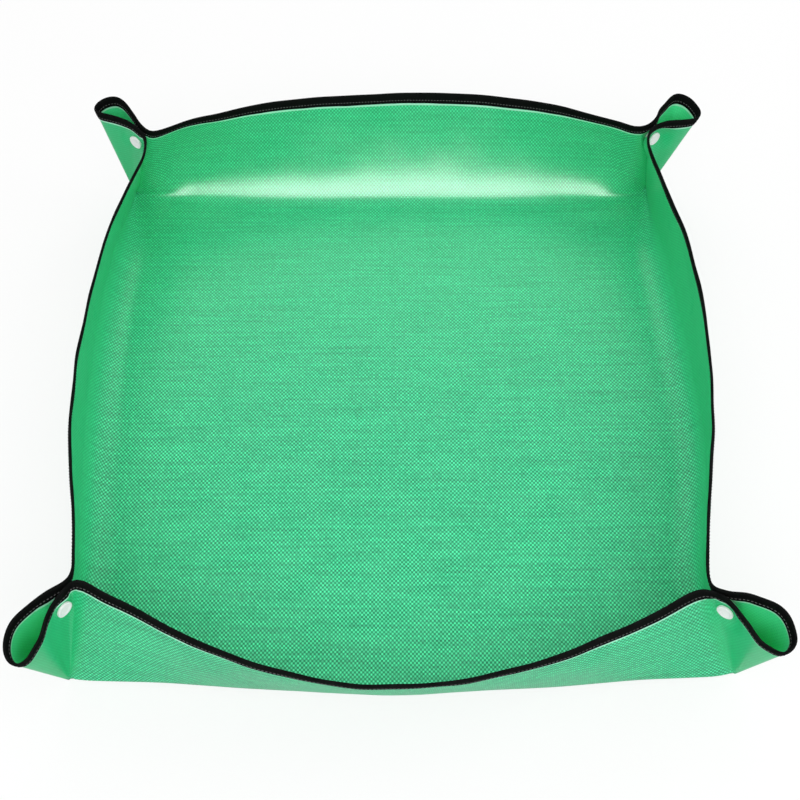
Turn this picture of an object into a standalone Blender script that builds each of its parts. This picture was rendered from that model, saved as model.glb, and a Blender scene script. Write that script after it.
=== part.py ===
import math

import bmesh
import bpy
import numpy as np
from mathutils import Matrix, Vector

# All lengths are in metres. +Z is up, +X is to the right and -Y is the front.

# Sheet
SHEET_SIDE = 0.680
WALL_WIDTH = 0.100
SHEET_THICKNESS = 0.0005
BEND_RADIUS = 0.025
FOOT_ROUND = 0.0025
FOOT_SPACING = 0.0012

# Edge tape and its seam
BINDING_WIDTH = 0.009
TAPE_THICKNESS = 0.0007
SEAM_INSET = 0.0065
THREAD_RADIUS = 0.0002
THREAD_CLEARANCE = 0.0005

# Press studs
CAP_RADIUS = 0.0062
CAP_THICKNESS = 0.0018
CAP_RIM = 0.0020
CAP_RECESS = 0.00045
CAP_EDGE = 0.0005
POST_RADIUS = 0.0016
POST_LENGTH = 0.0017
SNAP_RADIUS = 0.0056
SNAP_EDGE = 0.0003
SOCKET_HEIGHT = 0.0025
SOCKET_FLOOR = 0.0005
NUB_RADIUS = 0.0026
NUB_REACH = 0.0019
FLANGE_HEIGHT = 0.0010
TAPE_MARGIN = 0.0026
LAND_MARGIN = 0.0013
CLEARANCE = 0.0003
CUT_OVERRUN = 0.004

# How far a wall turns away from its ear layer where it leaves the stud's land
FLARE_REACH = 0.006
FLARE_SPREAD = 0.0035

# Mesh counts
SIDE_SEGMENTS = 8
TURN_STEPS = 20
HOLE_SIDES = 10

FLOOR_HALF = SHEET_SIDE / 2 - WALL_WIDTH
HALF_THICKNESS = SHEET_THICKNESS / 2
SKIN = HALF_THICKNESS + CLEARANCE
LAYER_HALF = SKIN + (SOCKET_HEIGHT + CLEARANCE + FLANGE_HEIGHT) / 2
STUD_DROP = BINDING_WIDTH + TAPE_MARGIN + CAP_RADIUS
LAND_LENGTH = 2 * (CAP_RADIUS + LAND_MARGIN)

# Each row up a wall, as a share of its height: three at the bend, then the middle of the wall
BEND_ROW_SHARES = (0.0, 0.02, 0.04)
WALL_ROW_SHARES = (0.5,)
# Each point across an ear, as a share of the way from the stud's land to the ear's ridge
EAR_SHARES = (0.30, 0.60, 0.88)
EAR_STEPS = len(EAR_SHARES) + 3
SPREAD_SHARE = 0.5
BULGE_POWER = 1.5

# Where each corner rests, as shares of FLOOR_HALF and of WALL_WIDTH. The heading is the way
# the ear points, in degrees from +X. An ear's tip has its reach that way, its lean towards the
# wall that comes first and its height. The bulges are that wall's layer and the next wall's.
CORNERS = {
    "front_right": {
        "signs": (1, -1),
        "heading": -38.0,
        "floor_shares": (1.020, 0.996),
        "pinch_shares": (0.375, 0.925),
        "ear_shares": (0.24, 0.14, 0.96),
        "bulge_shares": (0.07, 0.13),
    },
    "back_right": {
        "signs": (1, 1),
        "heading": 38.0,
        "floor_shares": (0.970, 1.000),
        "pinch_shares": (0.20, 0.91),
        "ear_shares": (0.33, 0.15, 0.87),
        "bulge_shares": (0.05, 0.18),
    },
    "back_left": {
        "signs": (-1, 1),
        "heading": 143.5,
        "floor_shares": (1.006, 0.995),
        "pinch_shares": (0.345, 0.965),
        "ear_shares": (0.17, -0.08, 1.00),
        "bulge_shares": (0.14, 0.02),
    },
    "front_left": {
        "signs": (-1, -1),
        "heading": 233.0,
        "floor_shares": (0.993, 1.004),
        "pinch_shares": (0.305, 1.06),
        "ear_shares": (0.30, -0.14, 1.035),
        "bulge_shares": (0.15, 0.04),
    },
}

# How far the middle of each wall's edge stands out past its pinches, its height, and how far
# the wall's foot bows out, as shares of WALL_WIDTH
SIDES = {
    "front": {"outward": (0, -1), "bow_share": 0.67, "height_share": 0.83, "foot_share": 0.14},
    "right": {"outward": (1, 0), "bow_share": 0.22, "height_share": 0.91, "foot_share": 0.04},
    "back": {"outward": (0, 1), "bow_share": 0.47, "height_share": 0.86, "foot_share": 0.08},
    "left": {"outward": (-1, 0), "bow_share": 0.24, "height_share": 0.91, "foot_share": 0.04},
}
BOW_POWER = 1.2
SIDE_ORDER = ("front", "right", "back", "left")
CORNER_ORDER = ("front_right", "back_right", "back_left", "front_left")


def clear_scene():
    for item in list(bpy.data.objects):
        bpy.data.objects.remove(item, do_unlink=True)


def make_collection(name):
    group = bpy.data.collections.new(name)
    bpy.context.scene.collection.children.link(group)
    return group


def make_material(name, color, roughness):
    material = bpy.data.materials.new(name)
    material.use_nodes = True
    shader = material.node_tree.nodes["Principled BSDF"]
    shader.inputs["Base Color"].default_value = (*color, 1.0)
    shader.inputs["Roughness"].default_value = roughness
    shader.inputs["Metallic"].default_value = 0.0
    return material


def add_object(name, data, group, material=None):
    item = bpy.data.objects.new(name, data)
    group.objects.link(item)
    if material is not None:
        data.materials.append(material)
    return item


def unit(vector):
    return vector / np.linalg.norm(vector)


def mix(start, end, share):
    return start + (end - start) * share


class Corner:
    """A pinched corner: its foot on the floor, the top of its pinch and the tip of its ear."""

    def __init__(self, name):
        row = CORNERS[name]
        self.name = name
        heading = math.radians(row["heading"])
        self.out = np.array([math.cos(heading), math.sin(heading), 0.0])
        # Towards the side that comes before this corner, going round anticlockwise
        self.toward_first = np.array([math.sin(heading), -math.cos(heading), 0.0])
        places = [sign * share * FLOOR_HALF for sign, share in zip(row["signs"], row["floor_shares"])]
        self.foot = np.array([*places, HALF_THICKNESS])
        inset, height = (share * WALL_WIDTH for share in row["pinch_shares"])
        reach, lean, tip_height = (share * WALL_WIDTH for share in row["ear_shares"])
        up = np.array([0.0, 0.0, 1.0])
        self.pinch = self.foot - self.out * inset + up * height
        self.lean = self.toward_first * lean
        self.tip = self.foot + self.out * reach + self.lean + up * tip_height
        self.bulges = [share * WALL_WIDTH for share in row["bulge_shares"]]
        self.stud_share = 1 - STUD_DROP / np.linalg.norm(self.pinch - self.foot)
        across = self.level_ridge(self.stud_share) - self.crease(self.stud_share)
        self.land_share = LAND_LENGTH / np.linalg.norm(across)
        # The layer that the hinge carries is the one on the left or right wall
        self.moving_sign = -1 if name in ("front_right", "back_left") else 1

    def crease(self, share):
        return mix(self.foot, self.pinch, share)

    def ridge(self, share):
        return mix(self.foot, self.tip, share) + self.out * FOOT_ROUND * (1 - share)

    def level_ridge(self, share):
        """The ridge without its lean, so that the stud's land lies square to the stud."""
        return self.ridge(share) - self.lean * share

    def spacing(self, share):
        return mix(FOOT_SPACING, LAYER_HALF, min(1.0, share / SPREAD_SHARE))

    def flare(self, share, side):
        """Where a wall leaves the ear: side is 1 on the first side's layer, -1 on the second's."""
        start = self.crease(share) - self.out * FLARE_REACH * share
        return start + self.toward_first * side * (self.spacing(share) + FLARE_SPREAD * share)

    def land_end(self, share):
        return mix(self.crease(share), self.level_ridge(share), self.land_share)

    def stud_centre(self):
        return (self.crease(self.stud_share) + self.land_end(self.stud_share)) / 2

    def moving_side(self):
        """Unit vector square to the ear, towards the layer that opens."""
        return self.toward_first * self.moving_sign

    def column(self, step, steps, share):
        """Point at a share of the height, on one of the columns across the ear's two layers."""
        side = 1 if step <= steps else -1
        if step == steps:
            return self.ridge(share)
        near = step if side == 1 else 2 * steps - step
        spacing = self.spacing(share)
        if near == 0:
            return self.flare(share, side)
        if near == 1:
            return self.crease(share) + self.toward_first * side * spacing
        start = self.land_end(share)
        if near == 2:
            return start + self.toward_first * side * spacing
        along = EAR_SHARES[near - 3]
        bulge = self.bulges[0 if side == 1 else 1] * share * math.sin(math.pi * along**BULGE_POWER)
        offset = spacing * (1 - along**3) + bulge
        return mix(start, self.ridge(share), along) + self.toward_first * side * offset


def corner_columns(corner):
    columns = []
    steps = EAR_STEPS
    for step in range(2 * steps + 1):
        top = corner.column(step, steps, 1.0)
        below = corner.column(step, steps, WALL_ROW_SHARES[-1])
        drop = BINDING_WIDTH * (1 - WALL_ROW_SHARES[-1]) / np.linalg.norm(top - below)
        shares = (*BEND_ROW_SHARES, *WALL_ROW_SHARES, 1 - drop, 1.0)
        columns.append([corner.column(step, steps, share) for share in shares])
    return columns


def wall_column(side, start, end, place):
    """Rows from the floor over the bend to the edge, at a place from -1 to 1 along the wall."""
    row = SIDES[side]
    outward = np.array([*row["outward"], 0.0])
    share = (place + 1) / 2
    swell = 1 - place * place
    foot = mix(start.foot, end.foot, share) + outward * row["foot_share"] * WALL_WIDTH * swell
    edge = mix(start.flare(1.0, -1), end.flare(1.0, 1), share)
    edge = edge + outward * row["bow_share"] * WALL_WIDTH * swell**BOW_POWER
    level = mix(edge[2], row["height_share"] * WALL_WIDTH, swell**BOW_POWER)
    edge[2] = level
    bend = FOOT_ROUND + BEND_RADIUS * swell
    inner = foot - outward * bend
    outer = foot + unit(edge - foot) * bend
    points = [inner, (inner + 2 * foot + outer) / 4, outer]
    last = BEND_ROW_SHARES[-1]
    points += [mix(outer, edge, (s - last) / (1 - last)) for s in WALL_ROW_SHARES]
    points += [edge - unit(edge - outer) * BINDING_WIDTH, edge]
    return points


def sheet_columns(corners):
    """All columns of the sheet in order round it, anticlockwise from the front wall's left."""
    columns = []
    for number, side in enumerate(SIDE_ORDER):
        start = corners[CORNER_ORDER[number - 1]]
        end = corners[CORNER_ORDER[number]]
        for step in range(1, SIDE_SEGMENTS):
            columns.append(wall_column(side, start, end, 2 * step / SIDE_SEGMENTS - 1))
        columns += corner_columns(end)
    return columns


def add_floor(bm, ring, corners):
    """Fills the floor with a square grid whose outer points are the first row of the walls."""
    corner_points = 2 * EAR_STEPS + 1
    stride = SIDE_SEGMENTS - 1 + corner_points
    grid = {}
    last = SIDE_SEGMENTS
    for number in range(4):
        for step in range(1, SIDE_SEGMENTS):
            vertex = ring[number * stride + step - 1]
            place = ((step, 0), (last, step), (last - step, last), (0, last - step))[number]
            grid[place] = vertex
    spots = ((last, 0), (last, last), (0, last), (0, 0))
    for spot, name in zip(spots, CORNER_ORDER):
        corner = corners[name]
        grid[spot] = bm.verts.new(corner.foot - corner.out * 2 * FOOT_ROUND)
    for i in range(1, last):
        for j in range(1, last):
            across = mix(grid[0, j].co, grid[last, j].co, i / last)
            along = mix(grid[i, 0].co, grid[i, last].co, j / last)
            grid[i, j] = bm.verts.new(Vector((along.x, across.y, across.z)))
    for i in range(last):
        for j in range(last):
            bm.faces.new((grid[i, j], grid[i + 1, j], grid[i + 1, j + 1], grid[i, j + 1]))
    for number, spot in enumerate(spots):
        first = number * stride + SIDE_SEGMENTS - 2
        fan = [ring[(first + step) % len(ring)] for step in range(corner_points + 2)]
        for a, b in zip(fan, fan[1:]):
            bm.faces.new((grid[spot], a, b))


def middle_surface(corners):
    """The sheet's middle surface, as a mesh, with the number of its columns and rows."""
    columns = sheet_columns(corners)
    bm = bmesh.new()
    rings = [[bm.verts.new(column[row]) for column in columns] for row in range(len(columns[0]))]
    for lower, upper in zip(rings, rings[1:]):
        for i in range(len(columns)):
            j = (i + 1) % len(columns)
            bm.faces.new((lower[i], upper[i], upper[j], lower[j]))
    add_floor(bm, rings[0], corners)
    bmesh.ops.triangulate(bm, faces=list(bm.faces), quad_method="FIXED")
    mesh = bpy.data.meshes.new("woven_sheet")
    bm.to_mesh(mesh)
    bm.free()
    return mesh, len(columns), len(rings)


def edge_frames(mesh, count, rows):
    """For each column: its edge point, the point at the tape's lip, and the normals there."""
    top = (rows - 1) * count
    frames = []
    for i in range(count):
        edge = mesh.vertices[top + i]
        lip = mesh.vertices[top - count + i]
        frames.append((np.array(edge.co), np.array(lip.co), np.array(edge.normal), np.array(lip.normal)))
    return frames


def ring_mesh(name, sections, low_points):
    """A closed band through sections that all have the same number of points.

    Each face is split from a low point to the next section's high point, as the sheet's are.
    """
    bm = bmesh.new()
    rings = [[bm.verts.new(point) for point in section] for section in sections]
    size = len(rings[0])
    for one, two in zip(rings, rings[1:] + rings[:1]):
        for i in range(size):
            j = (i + 1) % size
            if j in low_points:
                bm.faces.new((one[i], two[i], one[j]))
                bm.faces.new((two[i], two[j], one[j]))
            else:
                bm.faces.new((one[i], two[j], one[j]))
                bm.faces.new((one[i], two[i], two[j]))
    bmesh.ops.recalc_face_normals(bm, faces=list(bm.faces))
    mesh = bpy.data.meshes.new(name)
    bm.to_mesh(mesh)
    bm.free()
    return mesh


# Where the lips of the folded tape come in the list of its section's points
BINDING_LIPS = (0, 5, 6, 9)


def binding_section(edge, lip, edge_normal, lip_normal):
    """The folded tape's U over the sheet's edge, from its inner lip round to its outer one."""
    inside = SKIN
    outside = SKIN + TAPE_THICKNESS
    up = unit(edge - lip)
    crown = edge + up * CLEARANCE
    shoulder = edge - up * TAPE_THICKNESS
    return [
        lip + lip_normal * outside,
        shoulder + edge_normal * outside,
        crown + edge_normal * inside + up * TAPE_THICKNESS,
        crown - edge_normal * inside + up * TAPE_THICKNESS,
        shoulder - edge_normal * outside,
        lip - lip_normal * outside,
        lip - lip_normal * inside,
        crown - edge_normal * inside,
        crown + edge_normal * inside,
        lip + lip_normal * inside,
    ]


def seam_point(frame, sign):
    edge, lip, edge_normal, lip_normal = frame
    share = SEAM_INSET / BINDING_WIDTH
    normal = unit(mix(edge_normal, lip_normal, share))
    offset = SKIN + TAPE_THICKNESS + THREAD_CLEARANCE + THREAD_RADIUS
    return mix(edge, lip, share) + normal * sign * offset


def make_thread(name, sign, frames, group, material):
    """A line of thread on one face of the tape: the inner face for 1, the outer one for -1."""
    curve = bpy.data.curves.new(name, "CURVE")
    curve.dimensions = "3D"
    curve.bevel_depth = THREAD_RADIUS
    curve.bevel_resolution = 0
    spline = curve.splines.new("POLY")
    spline.points.add(len(frames) - 1)
    for point, frame in zip(spline.points, frames):
        point.co = (*seam_point(frame, sign), 1.0)
    spline.use_cyclic_u = True
    return add_object(name, curve, group, material)


def make_sheet(mesh, corners, group, cutters, material):
    sheet = add_object("woven_sheet", mesh, group, material)
    solid = sheet.modifiers.new("thickness", "SOLIDIFY")
    solid.thickness = SHEET_THICKNESS
    solid.offset = 0.0
    solid.use_even_offset = False
    for corner in corners.values():
        hole = sheet.modifiers.new("post_holes_" + corner.name, "BOOLEAN")
        hole.operation = "DIFFERENCE"
        hole.object = hole_cutter(corner, cutters)
    return sheet


def hole_cutter(corner, cutters):
    bm = bmesh.new()
    bmesh.ops.create_cone(
        bm,
        cap_ends=True,
        segments=HOLE_SIDES,
        radius1=POST_RADIUS + CLEARANCE,
        radius2=POST_RADIUS + CLEARANCE,
        depth=2 * (LAYER_HALF + CUT_OVERRUN),
    )
    mesh = bpy.data.meshes.new("post_hole_" + corner.name)
    bm.to_mesh(mesh)
    bm.free()
    cutter = add_object(mesh.name, mesh, cutters)
    cutter.matrix_world = snap_matrix(corner, 1)
    cutter.hide_render = True
    cutter.display_type = "WIRE"
    return cutter


def snap_matrix(corner, sign):
    """Places a snap piece at the stud, with its +Z towards the layer that opens, or away."""
    axis = Vector(corner.moving_side()) * sign
    along = Vector(corner.out)
    across = axis.cross(along)
    turn = Matrix((along, across, axis)).transposed().to_4x4()
    return Matrix.Translation(Vector(corner.stud_centre())) @ turn


def turned(name, profile, closed):
    """A profile in radius and height, run down its outer side, turned round Z."""
    mesh = bpy.data.meshes.new(name)
    points = [(radius, 0.0, height) for radius, height in profile]
    edges = [(i, i + 1) for i in range(len(points) - 1)]
    if closed:
        edges.append((len(points) - 1, 0))
    mesh.from_pydata(points, edges, [])
    return mesh


def add_turned(name, mesh, group, material, placement, parent=None):
    item = add_object(name, mesh, group)
    if not mesh.materials:
        mesh.materials.append(material)
    screw = item.modifiers.new("turn", "SCREW")
    screw.axis = "Z"
    screw.steps = TURN_STEPS
    screw.render_steps = TURN_STEPS
    screw.use_merge_vertices = True
    screw.merge_threshold = 0.00001
    screw.use_smooth_shade = True
    if parent is not None:
        item.parent = parent
        item.matrix_local = parent.matrix_world.inverted() @ placement
    else:
        item.matrix_world = placement
    return item


def cap_mesh():
    under = LAYER_HALF + SKIN
    top = under + CAP_THICKNESS
    profile = [
        (0.0, top - CAP_RECESS),
        (CAP_RADIUS - CAP_RIM - CAP_RECESS, top - CAP_RECESS),
        (CAP_RADIUS - CAP_RIM, top),
        (CAP_RADIUS - CAP_EDGE, top),
        (CAP_RADIUS, top - CAP_EDGE),
        (CAP_RADIUS, under),
        (POST_RADIUS, under),
        (POST_RADIUS, under - POST_LENGTH),
        (0.0, under - POST_LENGTH),
    ]
    return turned("snap_cap", profile, False)


def socket_mesh():
    """The socket stands on the fixed layer and opens towards the stud."""
    back = SKIN - LAYER_HALF
    front = back + SOCKET_HEIGHT
    bore = NUB_RADIUS + CLEARANCE
    profile = [
        (SNAP_RADIUS - SNAP_EDGE, front),
        (SNAP_RADIUS, front - SNAP_EDGE),
        (SNAP_RADIUS, back),
        (POST_RADIUS + CLEARANCE, back),
        (POST_RADIUS + CLEARANCE, back + SOCKET_FLOOR),
        (bore, back + SOCKET_FLOOR),
        (bore, front),
    ]
    return turned("snap_socket", profile, True)


def stud_mesh():
    """The stud's flange lies against the layer that opens, and its nub enters the socket."""
    back = LAYER_HALF - SKIN
    face = back - FLANGE_HEIGHT
    profile = [
        (SNAP_RADIUS, back),
        (SNAP_RADIUS, face + SNAP_EDGE),
        (SNAP_RADIUS - SNAP_EDGE, face),
        (NUB_RADIUS, face),
        (NUB_RADIUS, face - NUB_REACH + SNAP_EDGE),
        (NUB_RADIUS - SNAP_EDGE, face - NUB_REACH),
        (POST_RADIUS + CLEARANCE, face - NUB_REACH),
        (POST_RADIUS + CLEARANCE, back),
    ]
    return turned("snap_stud", profile, True)


def make_snaps(corners, group, plastic):
    cap, socket, stud = cap_mesh(), socket_mesh(), stud_mesh()
    for name, corner in corners.items():
        hinge = bpy.data.objects.new("hinge_" + name, None)
        group.objects.link(hinge)
        hinge.location = corner.foot
        bpy.context.view_layer.update()
        add_turned("fixed_cap_" + name, cap, group, plastic, snap_matrix(corner, -1))
        add_turned("socket_" + name, socket, group, plastic, snap_matrix(corner, 1))
        add_turned("stud_" + name, stud, group, plastic, snap_matrix(corner, 1), hinge)
        add_turned("opening_cap_" + name, cap, group, plastic, snap_matrix(corner, 1), hinge)


def main():
    clear_scene()
    parts = make_collection("repotting_mat")
    cutters = make_collection("cutters")
    green = make_material("woven_green", (0.05, 0.50, 0.20), 0.45)
    black = make_material("black_tape", (0.012, 0.012, 0.013), 0.80)
    white = make_material("white_plastic", (0.86, 0.87, 0.87), 0.25)
    grey = make_material("seam_thread", (0.05, 0.05, 0.055), 0.70)

    corners = {name: Corner(name) for name in CORNER_ORDER}
    mesh, count, rows = middle_surface(corners)
    frames = edge_frames(mesh, count, rows)
    make_sheet(mesh, corners, parts, cutters, green)
    sections = [binding_section(*frame) for frame in frames]
    tape = ring_mesh("edge_binding", sections, BINDING_LIPS)
    add_object("edge_binding", tape, parts, black)
    make_thread("needle_thread", 1, frames, parts, grey)
    make_thread("bobbin_thread", -1, frames, parts, grey)
    make_snaps(corners, parts, white)
    bpy.context.view_layer.update()


main()
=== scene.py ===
import math

import bpy
import numpy as np
from mathutils import Matrix, Vector


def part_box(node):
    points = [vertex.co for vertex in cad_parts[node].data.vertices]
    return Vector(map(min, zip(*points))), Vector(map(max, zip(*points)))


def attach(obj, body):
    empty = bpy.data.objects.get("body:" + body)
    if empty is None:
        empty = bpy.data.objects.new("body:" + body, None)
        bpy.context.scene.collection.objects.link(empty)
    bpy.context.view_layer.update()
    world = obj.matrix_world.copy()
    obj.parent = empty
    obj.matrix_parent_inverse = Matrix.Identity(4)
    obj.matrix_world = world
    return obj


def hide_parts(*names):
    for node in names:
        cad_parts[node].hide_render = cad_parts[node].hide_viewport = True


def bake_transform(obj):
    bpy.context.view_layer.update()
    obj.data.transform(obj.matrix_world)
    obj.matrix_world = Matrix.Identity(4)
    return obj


# Repotting mat: a woven sheet with a taped edge, its four corners pinched by press studs.
# Lengths in the dictionaries are millimetres and angles degrees, unless a note says otherwise.

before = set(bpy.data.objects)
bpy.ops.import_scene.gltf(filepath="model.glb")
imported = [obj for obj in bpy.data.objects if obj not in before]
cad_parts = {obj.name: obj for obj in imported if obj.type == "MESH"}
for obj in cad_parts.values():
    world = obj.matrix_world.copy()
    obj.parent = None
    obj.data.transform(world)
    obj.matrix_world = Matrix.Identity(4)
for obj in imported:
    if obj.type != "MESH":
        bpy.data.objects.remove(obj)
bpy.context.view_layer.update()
mm = 0.001


# Small helpers

def unit(vector):
    return vector / np.maximum(np.linalg.norm(vector, axis=-1, keepdims=True), 1e-12)


def ease(value, low, high):
    share = np.clip((value - low) / (high - low), 0.0, 1.0)
    return share * share * (3 - 2 * share)


def mixed(start, end, share):
    return start + (end - start) * share


# A smooth closed curve through points, with its slopes there and the straight length of each step
def closedSpline(points):
    points = np.asarray(points, float)
    count = len(points)
    steps = np.linalg.norm(np.roll(points, -1, 0) - points, axis=1)
    system = np.zeros((count, count))
    target = np.zeros((count, 3))
    for i in range(count):
        before, after = steps[i - 1], steps[i]
        system[i, i - 1] = after
        system[i, i] = 2 * (before + after)
        system[i, (i + 1) % count] = before
        rise = (points[(i + 1) % count] - points[i]) / after
        fall = (points[i] - points[i - 1]) / before
        target[i] = 3 * (after * fall + before * rise)
    slopes = np.linalg.solve(system, target)
    return points, slopes, steps


# A cubic from one value to the next, with the slopes at both ends
def between(t, step, value, slope, nextValue, nextSlope):
    return ((2 * t**3 - 3 * t**2 + 1) * value + (t**3 - 2 * t**2 + t) * step * slope
            + (3 * t**2 - 2 * t**3) * nextValue + (t**3 - t**2) * step * nextSlope)


def splinePoint(spline, place):
    points, slopes, steps = spline
    count = len(points)
    place = np.asarray(place, float) % count
    i = np.floor(place).astype(int) % count
    j = (i + 1) % count
    t = (place - np.floor(place))[:, None]
    return between(t, steps[i][:, None], points[i], slopes[i], points[j], slopes[j])


# A smooth line through marks of (place, value), read at some places
def smoothLine(at, marks):
    places, values = np.array(marks, float).T
    slopes = np.gradient(values, places)
    i = np.clip(np.searchsorted(places, at) - 1, 0, len(places) - 2)
    step = places[i + 1] - places[i]
    t = (at - places[i]) / step
    return between(t, step, values[i], slopes[i], values[i + 1], slopes[i + 1])


# A bend from start to end that heads for the middle point
def bent(t, start, middle, end):
    return (1 - t) ** 2 * start + 2 * t * (1 - t) * middle + t**2 * end


# Places along a curve, evenly by length and closer together where it turns
def evenPlaces(spline, start, end, count, tightness):
    fine = np.linspace(start, end, sheetMake["curveSamples"])
    steps = np.diff(splinePoint(spline, fine), axis=0)
    lengths = np.linalg.norm(steps, axis=1)
    heads = steps / lengths[:, None]
    turn = np.zeros(len(lengths))
    turn[1:] = np.arccos(np.clip((heads[1:] * heads[:-1]).sum(1), -1, 1))
    load = np.concatenate([[0], np.cumsum(lengths + tightness * turn)])
    run = np.concatenate([[0], np.cumsum(lengths)])
    places = np.interp(np.linspace(0, load[-1], count), load, fine)
    return places, np.interp(places, fine, run)


# The four corners, anticlockwise. Each rim loop runs from the wall before the corner to the
# wall after it, as (along the ear, towards the wall before, up) from the ear's foot. The layer
# that opens belongs to the wall before the corner where opening is 1 and to the wall after it
# where it is -1. Behind the stud, mouth shifts the closed layers towards the wall before.
cornerShapes = {
    "front_right": {
        "foot": (244.8, -239.04), "heading": -38.0, "opening": -1,
        "before": [(-42, 7.5, 93), (-36, 4.4, 92.9), (-28, 4.6, 95.9), (-21.7, 6.4, 97.5),
                   (-12.1, 10.6, 98.8), (-2, 15.2, 98.9), (8, 19.2, 97.9), (16.2, 19.4, 97.6)],
        "tip": [(23.5, 17.9, 98), (26.3, 13.3, 98.2)],
        "after": [(26.1, 6.7, 99.9), (21.2, 0, 101), (13.5, -5.8, 102.2), (4.8, -7.9, 102.8),
                  (-6.6, -5.8, 102.8), (-16.7, -3.2, 101.6), (-25.6, 0.8, 99.2), (-30.4, 1.6, 97.2),
                  (-36, 1.5, 94.4), (-43, -3.5, 90.2)],
    },
    "back_right": {
        "foot": (232.8, 240.0), "heading": 38.0, "opening": 1, "mouth": -1.6,
        "before": [(-25, 9.5, 90), (-18, 5.8, 91.9), (-11, 6.2, 93), (-1.9, 9.3, 93.8), (7.4, 14.2, 93),
                   (18.5, 18.6, 91), (27.2, 18.8, 89.2)],
        "tip": [(33.7, 14.3, 88.7), (36, 7.2, 89.5)],
        "after": [(36.2, -2.6, 90.8), (32.3, -9.6, 91.9), (21.1, -9.6, 95.3), (8.2, -5.1, 98),
                  (-3.2, -0.9, 99.4), (-9, 2.4, 98.8), (-15.4, 2.6, 95.4), (-19.4, -0.4, 91.6),
                  (-23, -3.2, 90.4)],
    },
    "back_left": {
        "foot": (-241.44, 238.8), "heading": 143.5, "opening": -1, "mouth": 1.2,
        "before": [(-32.5, 1.2, 98.2), (-26.5, 0.4, 102.4), (-20, 2.4, 105.0), (-11.2, 5.9, 105.8),
                   (-0.2, 9.7, 105.8), (9.4, 9.9, 105.4)],
        "tip": [(15.2, 6.2, 104.6), (18.3, 0.3, 103.8), (18.2, -6.2, 103.2), (14.4, -10.8, 103.4)],
        "after": [(7.2, -11.2, 104.3), (-2.3, -8.5, 104.6), (-12.2, -5.6, 104), (-21, -3.7, 102.2),
                  (-28, -3.4, 99.6), (-34, -3.6, 96.6), (-40, -8.5, 93.5)],
    },
    "front_left": {
        "foot": (-238.32, -240.96), "heading": 233.0, "opening": 1,
        "before": [(-40, 6.5, 103), (-33, 2.6, 105), (-25, 2.8, 106.5), (-17, 5, 107.5), (-9.6, 6.4, 108),
                   (2.7, 7.9, 108.3), (12.8, 8.2, 107.6), (21.4, 5.2, 106.8), (27.5, 1, 105.7)],
        "tip": [(32.3, -5.5, 104.2), (33, -12, 103.3), (30.8, -15.5, 103.4), (26.6, -17.2, 104)],
        "after": [(19.4, -16.7, 105.5), (9, -14.2, 107.2), (0, -9.2, 108), (-8.8, -5.4, 108),
                  (-17, -3.0, 106.8), (-24, -1.2, 104.8), (-30, -0.9, 104.2), (-34.2, -4.8, 106.8)],
    },
}

# The walls, in the same order: how far each is pressed smooth, the fold's radius, half the angle
# that the wall turns through at its middle, the fold at the floor as (place along the wall,
# distance out), and the rim's middle line from corner to corner. The back wall starts on a low
# slope, along lowReach, in the middle part of its length that lowSpan fades in.
wallShapes = {
    "front": {
        "outward": (0, -1), "pressed": 0.15, "foldRadius": 8.0, "halfTurn": 10.0,
        "fold": [(-238.3, 240.96), (-232, 242.0), (-204, 244.8), (-157, 247.0), (-106, 249.6),
                 (-37, 251.8), (45, 250.8), (110, 249.6), (175, 246.0), (212, 244.2), (236, 241.4),
                 (244.8, 239.04)],
        "rim": [(-201, -220.9, 103), (-185, -227.6, 98.5), (-166, -236.5, 94), (-145, -247.6, 90),
                (-97, -265.1, 84), (-59.5, -274.6, 80.6), (-9, -280.2, 77.6), (60.5, -273.2, 79.6),
                (101, -263.2, 82), (163, -238.8, 87), (185, -227.6, 89), (199, -220.4, 91)],
    },
    "right": {
        "outward": (1, 0), "pressed": 0.9, "foldRadius": 20.0, "halfTurn": 8.0,
        "fold": [(-239.04, 244.8), (-230, 235.4), (-212, 231.0), (-190, 229.4), (-158, 230.8),
                 (-111, 237.6), (-76, 242.4), (-40, 244.3), (6, 242.8), (62, 240), (134.6, 236),
                 (190, 234), (240, 232.8)],
        "rim": [(213.8, -195, 90), (216.6, -179, 89.5), (224.8, -130, 89), (233, -82, 88), (239.2, -40, 87.4),
                (241.9, 0, 87), (242, 45, 87.5), (239.5, 89, 88), (234.4, 126, 88.5), (228.8, 151, 89),
                (223.8, 176, 90), (219.6, 195, 91), (218, 209, 91)],
    },
    "back": {
        "outward": (0, 1), "pressed": 0.45, "foldRadius": 20.0, "halfTurn": 12.0,
        "lowSlope": 38.0, "lowReach": 34.0, "lowSpan": (0.06, 0.40),
        "fold": [(-232.8, 240), (-218, 234.4), (-143, 226.0), (-4, 225.0), (135, 226.4), (219, 234.6),
                 (241.44, 238.8)],
        "rim": [(200, 237.6, 86), (180, 246.9, 85), (150, 260, 84.3), (100, 272.5, 83.8), (25, 279.3, 84.4),
                (-60, 273.2, 85.3), (-120, 263.2, 86.6), (-156, 250.2, 88), (-185, 237.5, 90),
                (-209.5, 224.8, 91.5)],
    },
    "left": {
        "outward": (-1, 0), "pressed": 0.8, "foldRadius": 22.0, "halfTurn": 9.0,
        "fold": [(-238.8, 241.44), (-205, 246.5), (-169, 249.8), (-98.8, 251.4), (-41, 251.2), (14, 249),
                 (73.5, 245), (122, 241.8), (158.7, 239.8), (200, 238.5), (240.96, 238.32)],
        "rim": [(-217.7, 180, 94), (-222.9, 162, 93.5), (-228.1, 143, 93), (-234.9, 108, 92),
                (-240.6, 60, 91.4), (-243.3, 0, 91), (-242.6, -50, 91.5), (-239.2, -92, 92),
                (-231.8, -130, 93), (-223.8, -178, 96), (-221.3, -196, 97)],
    },
}

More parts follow.
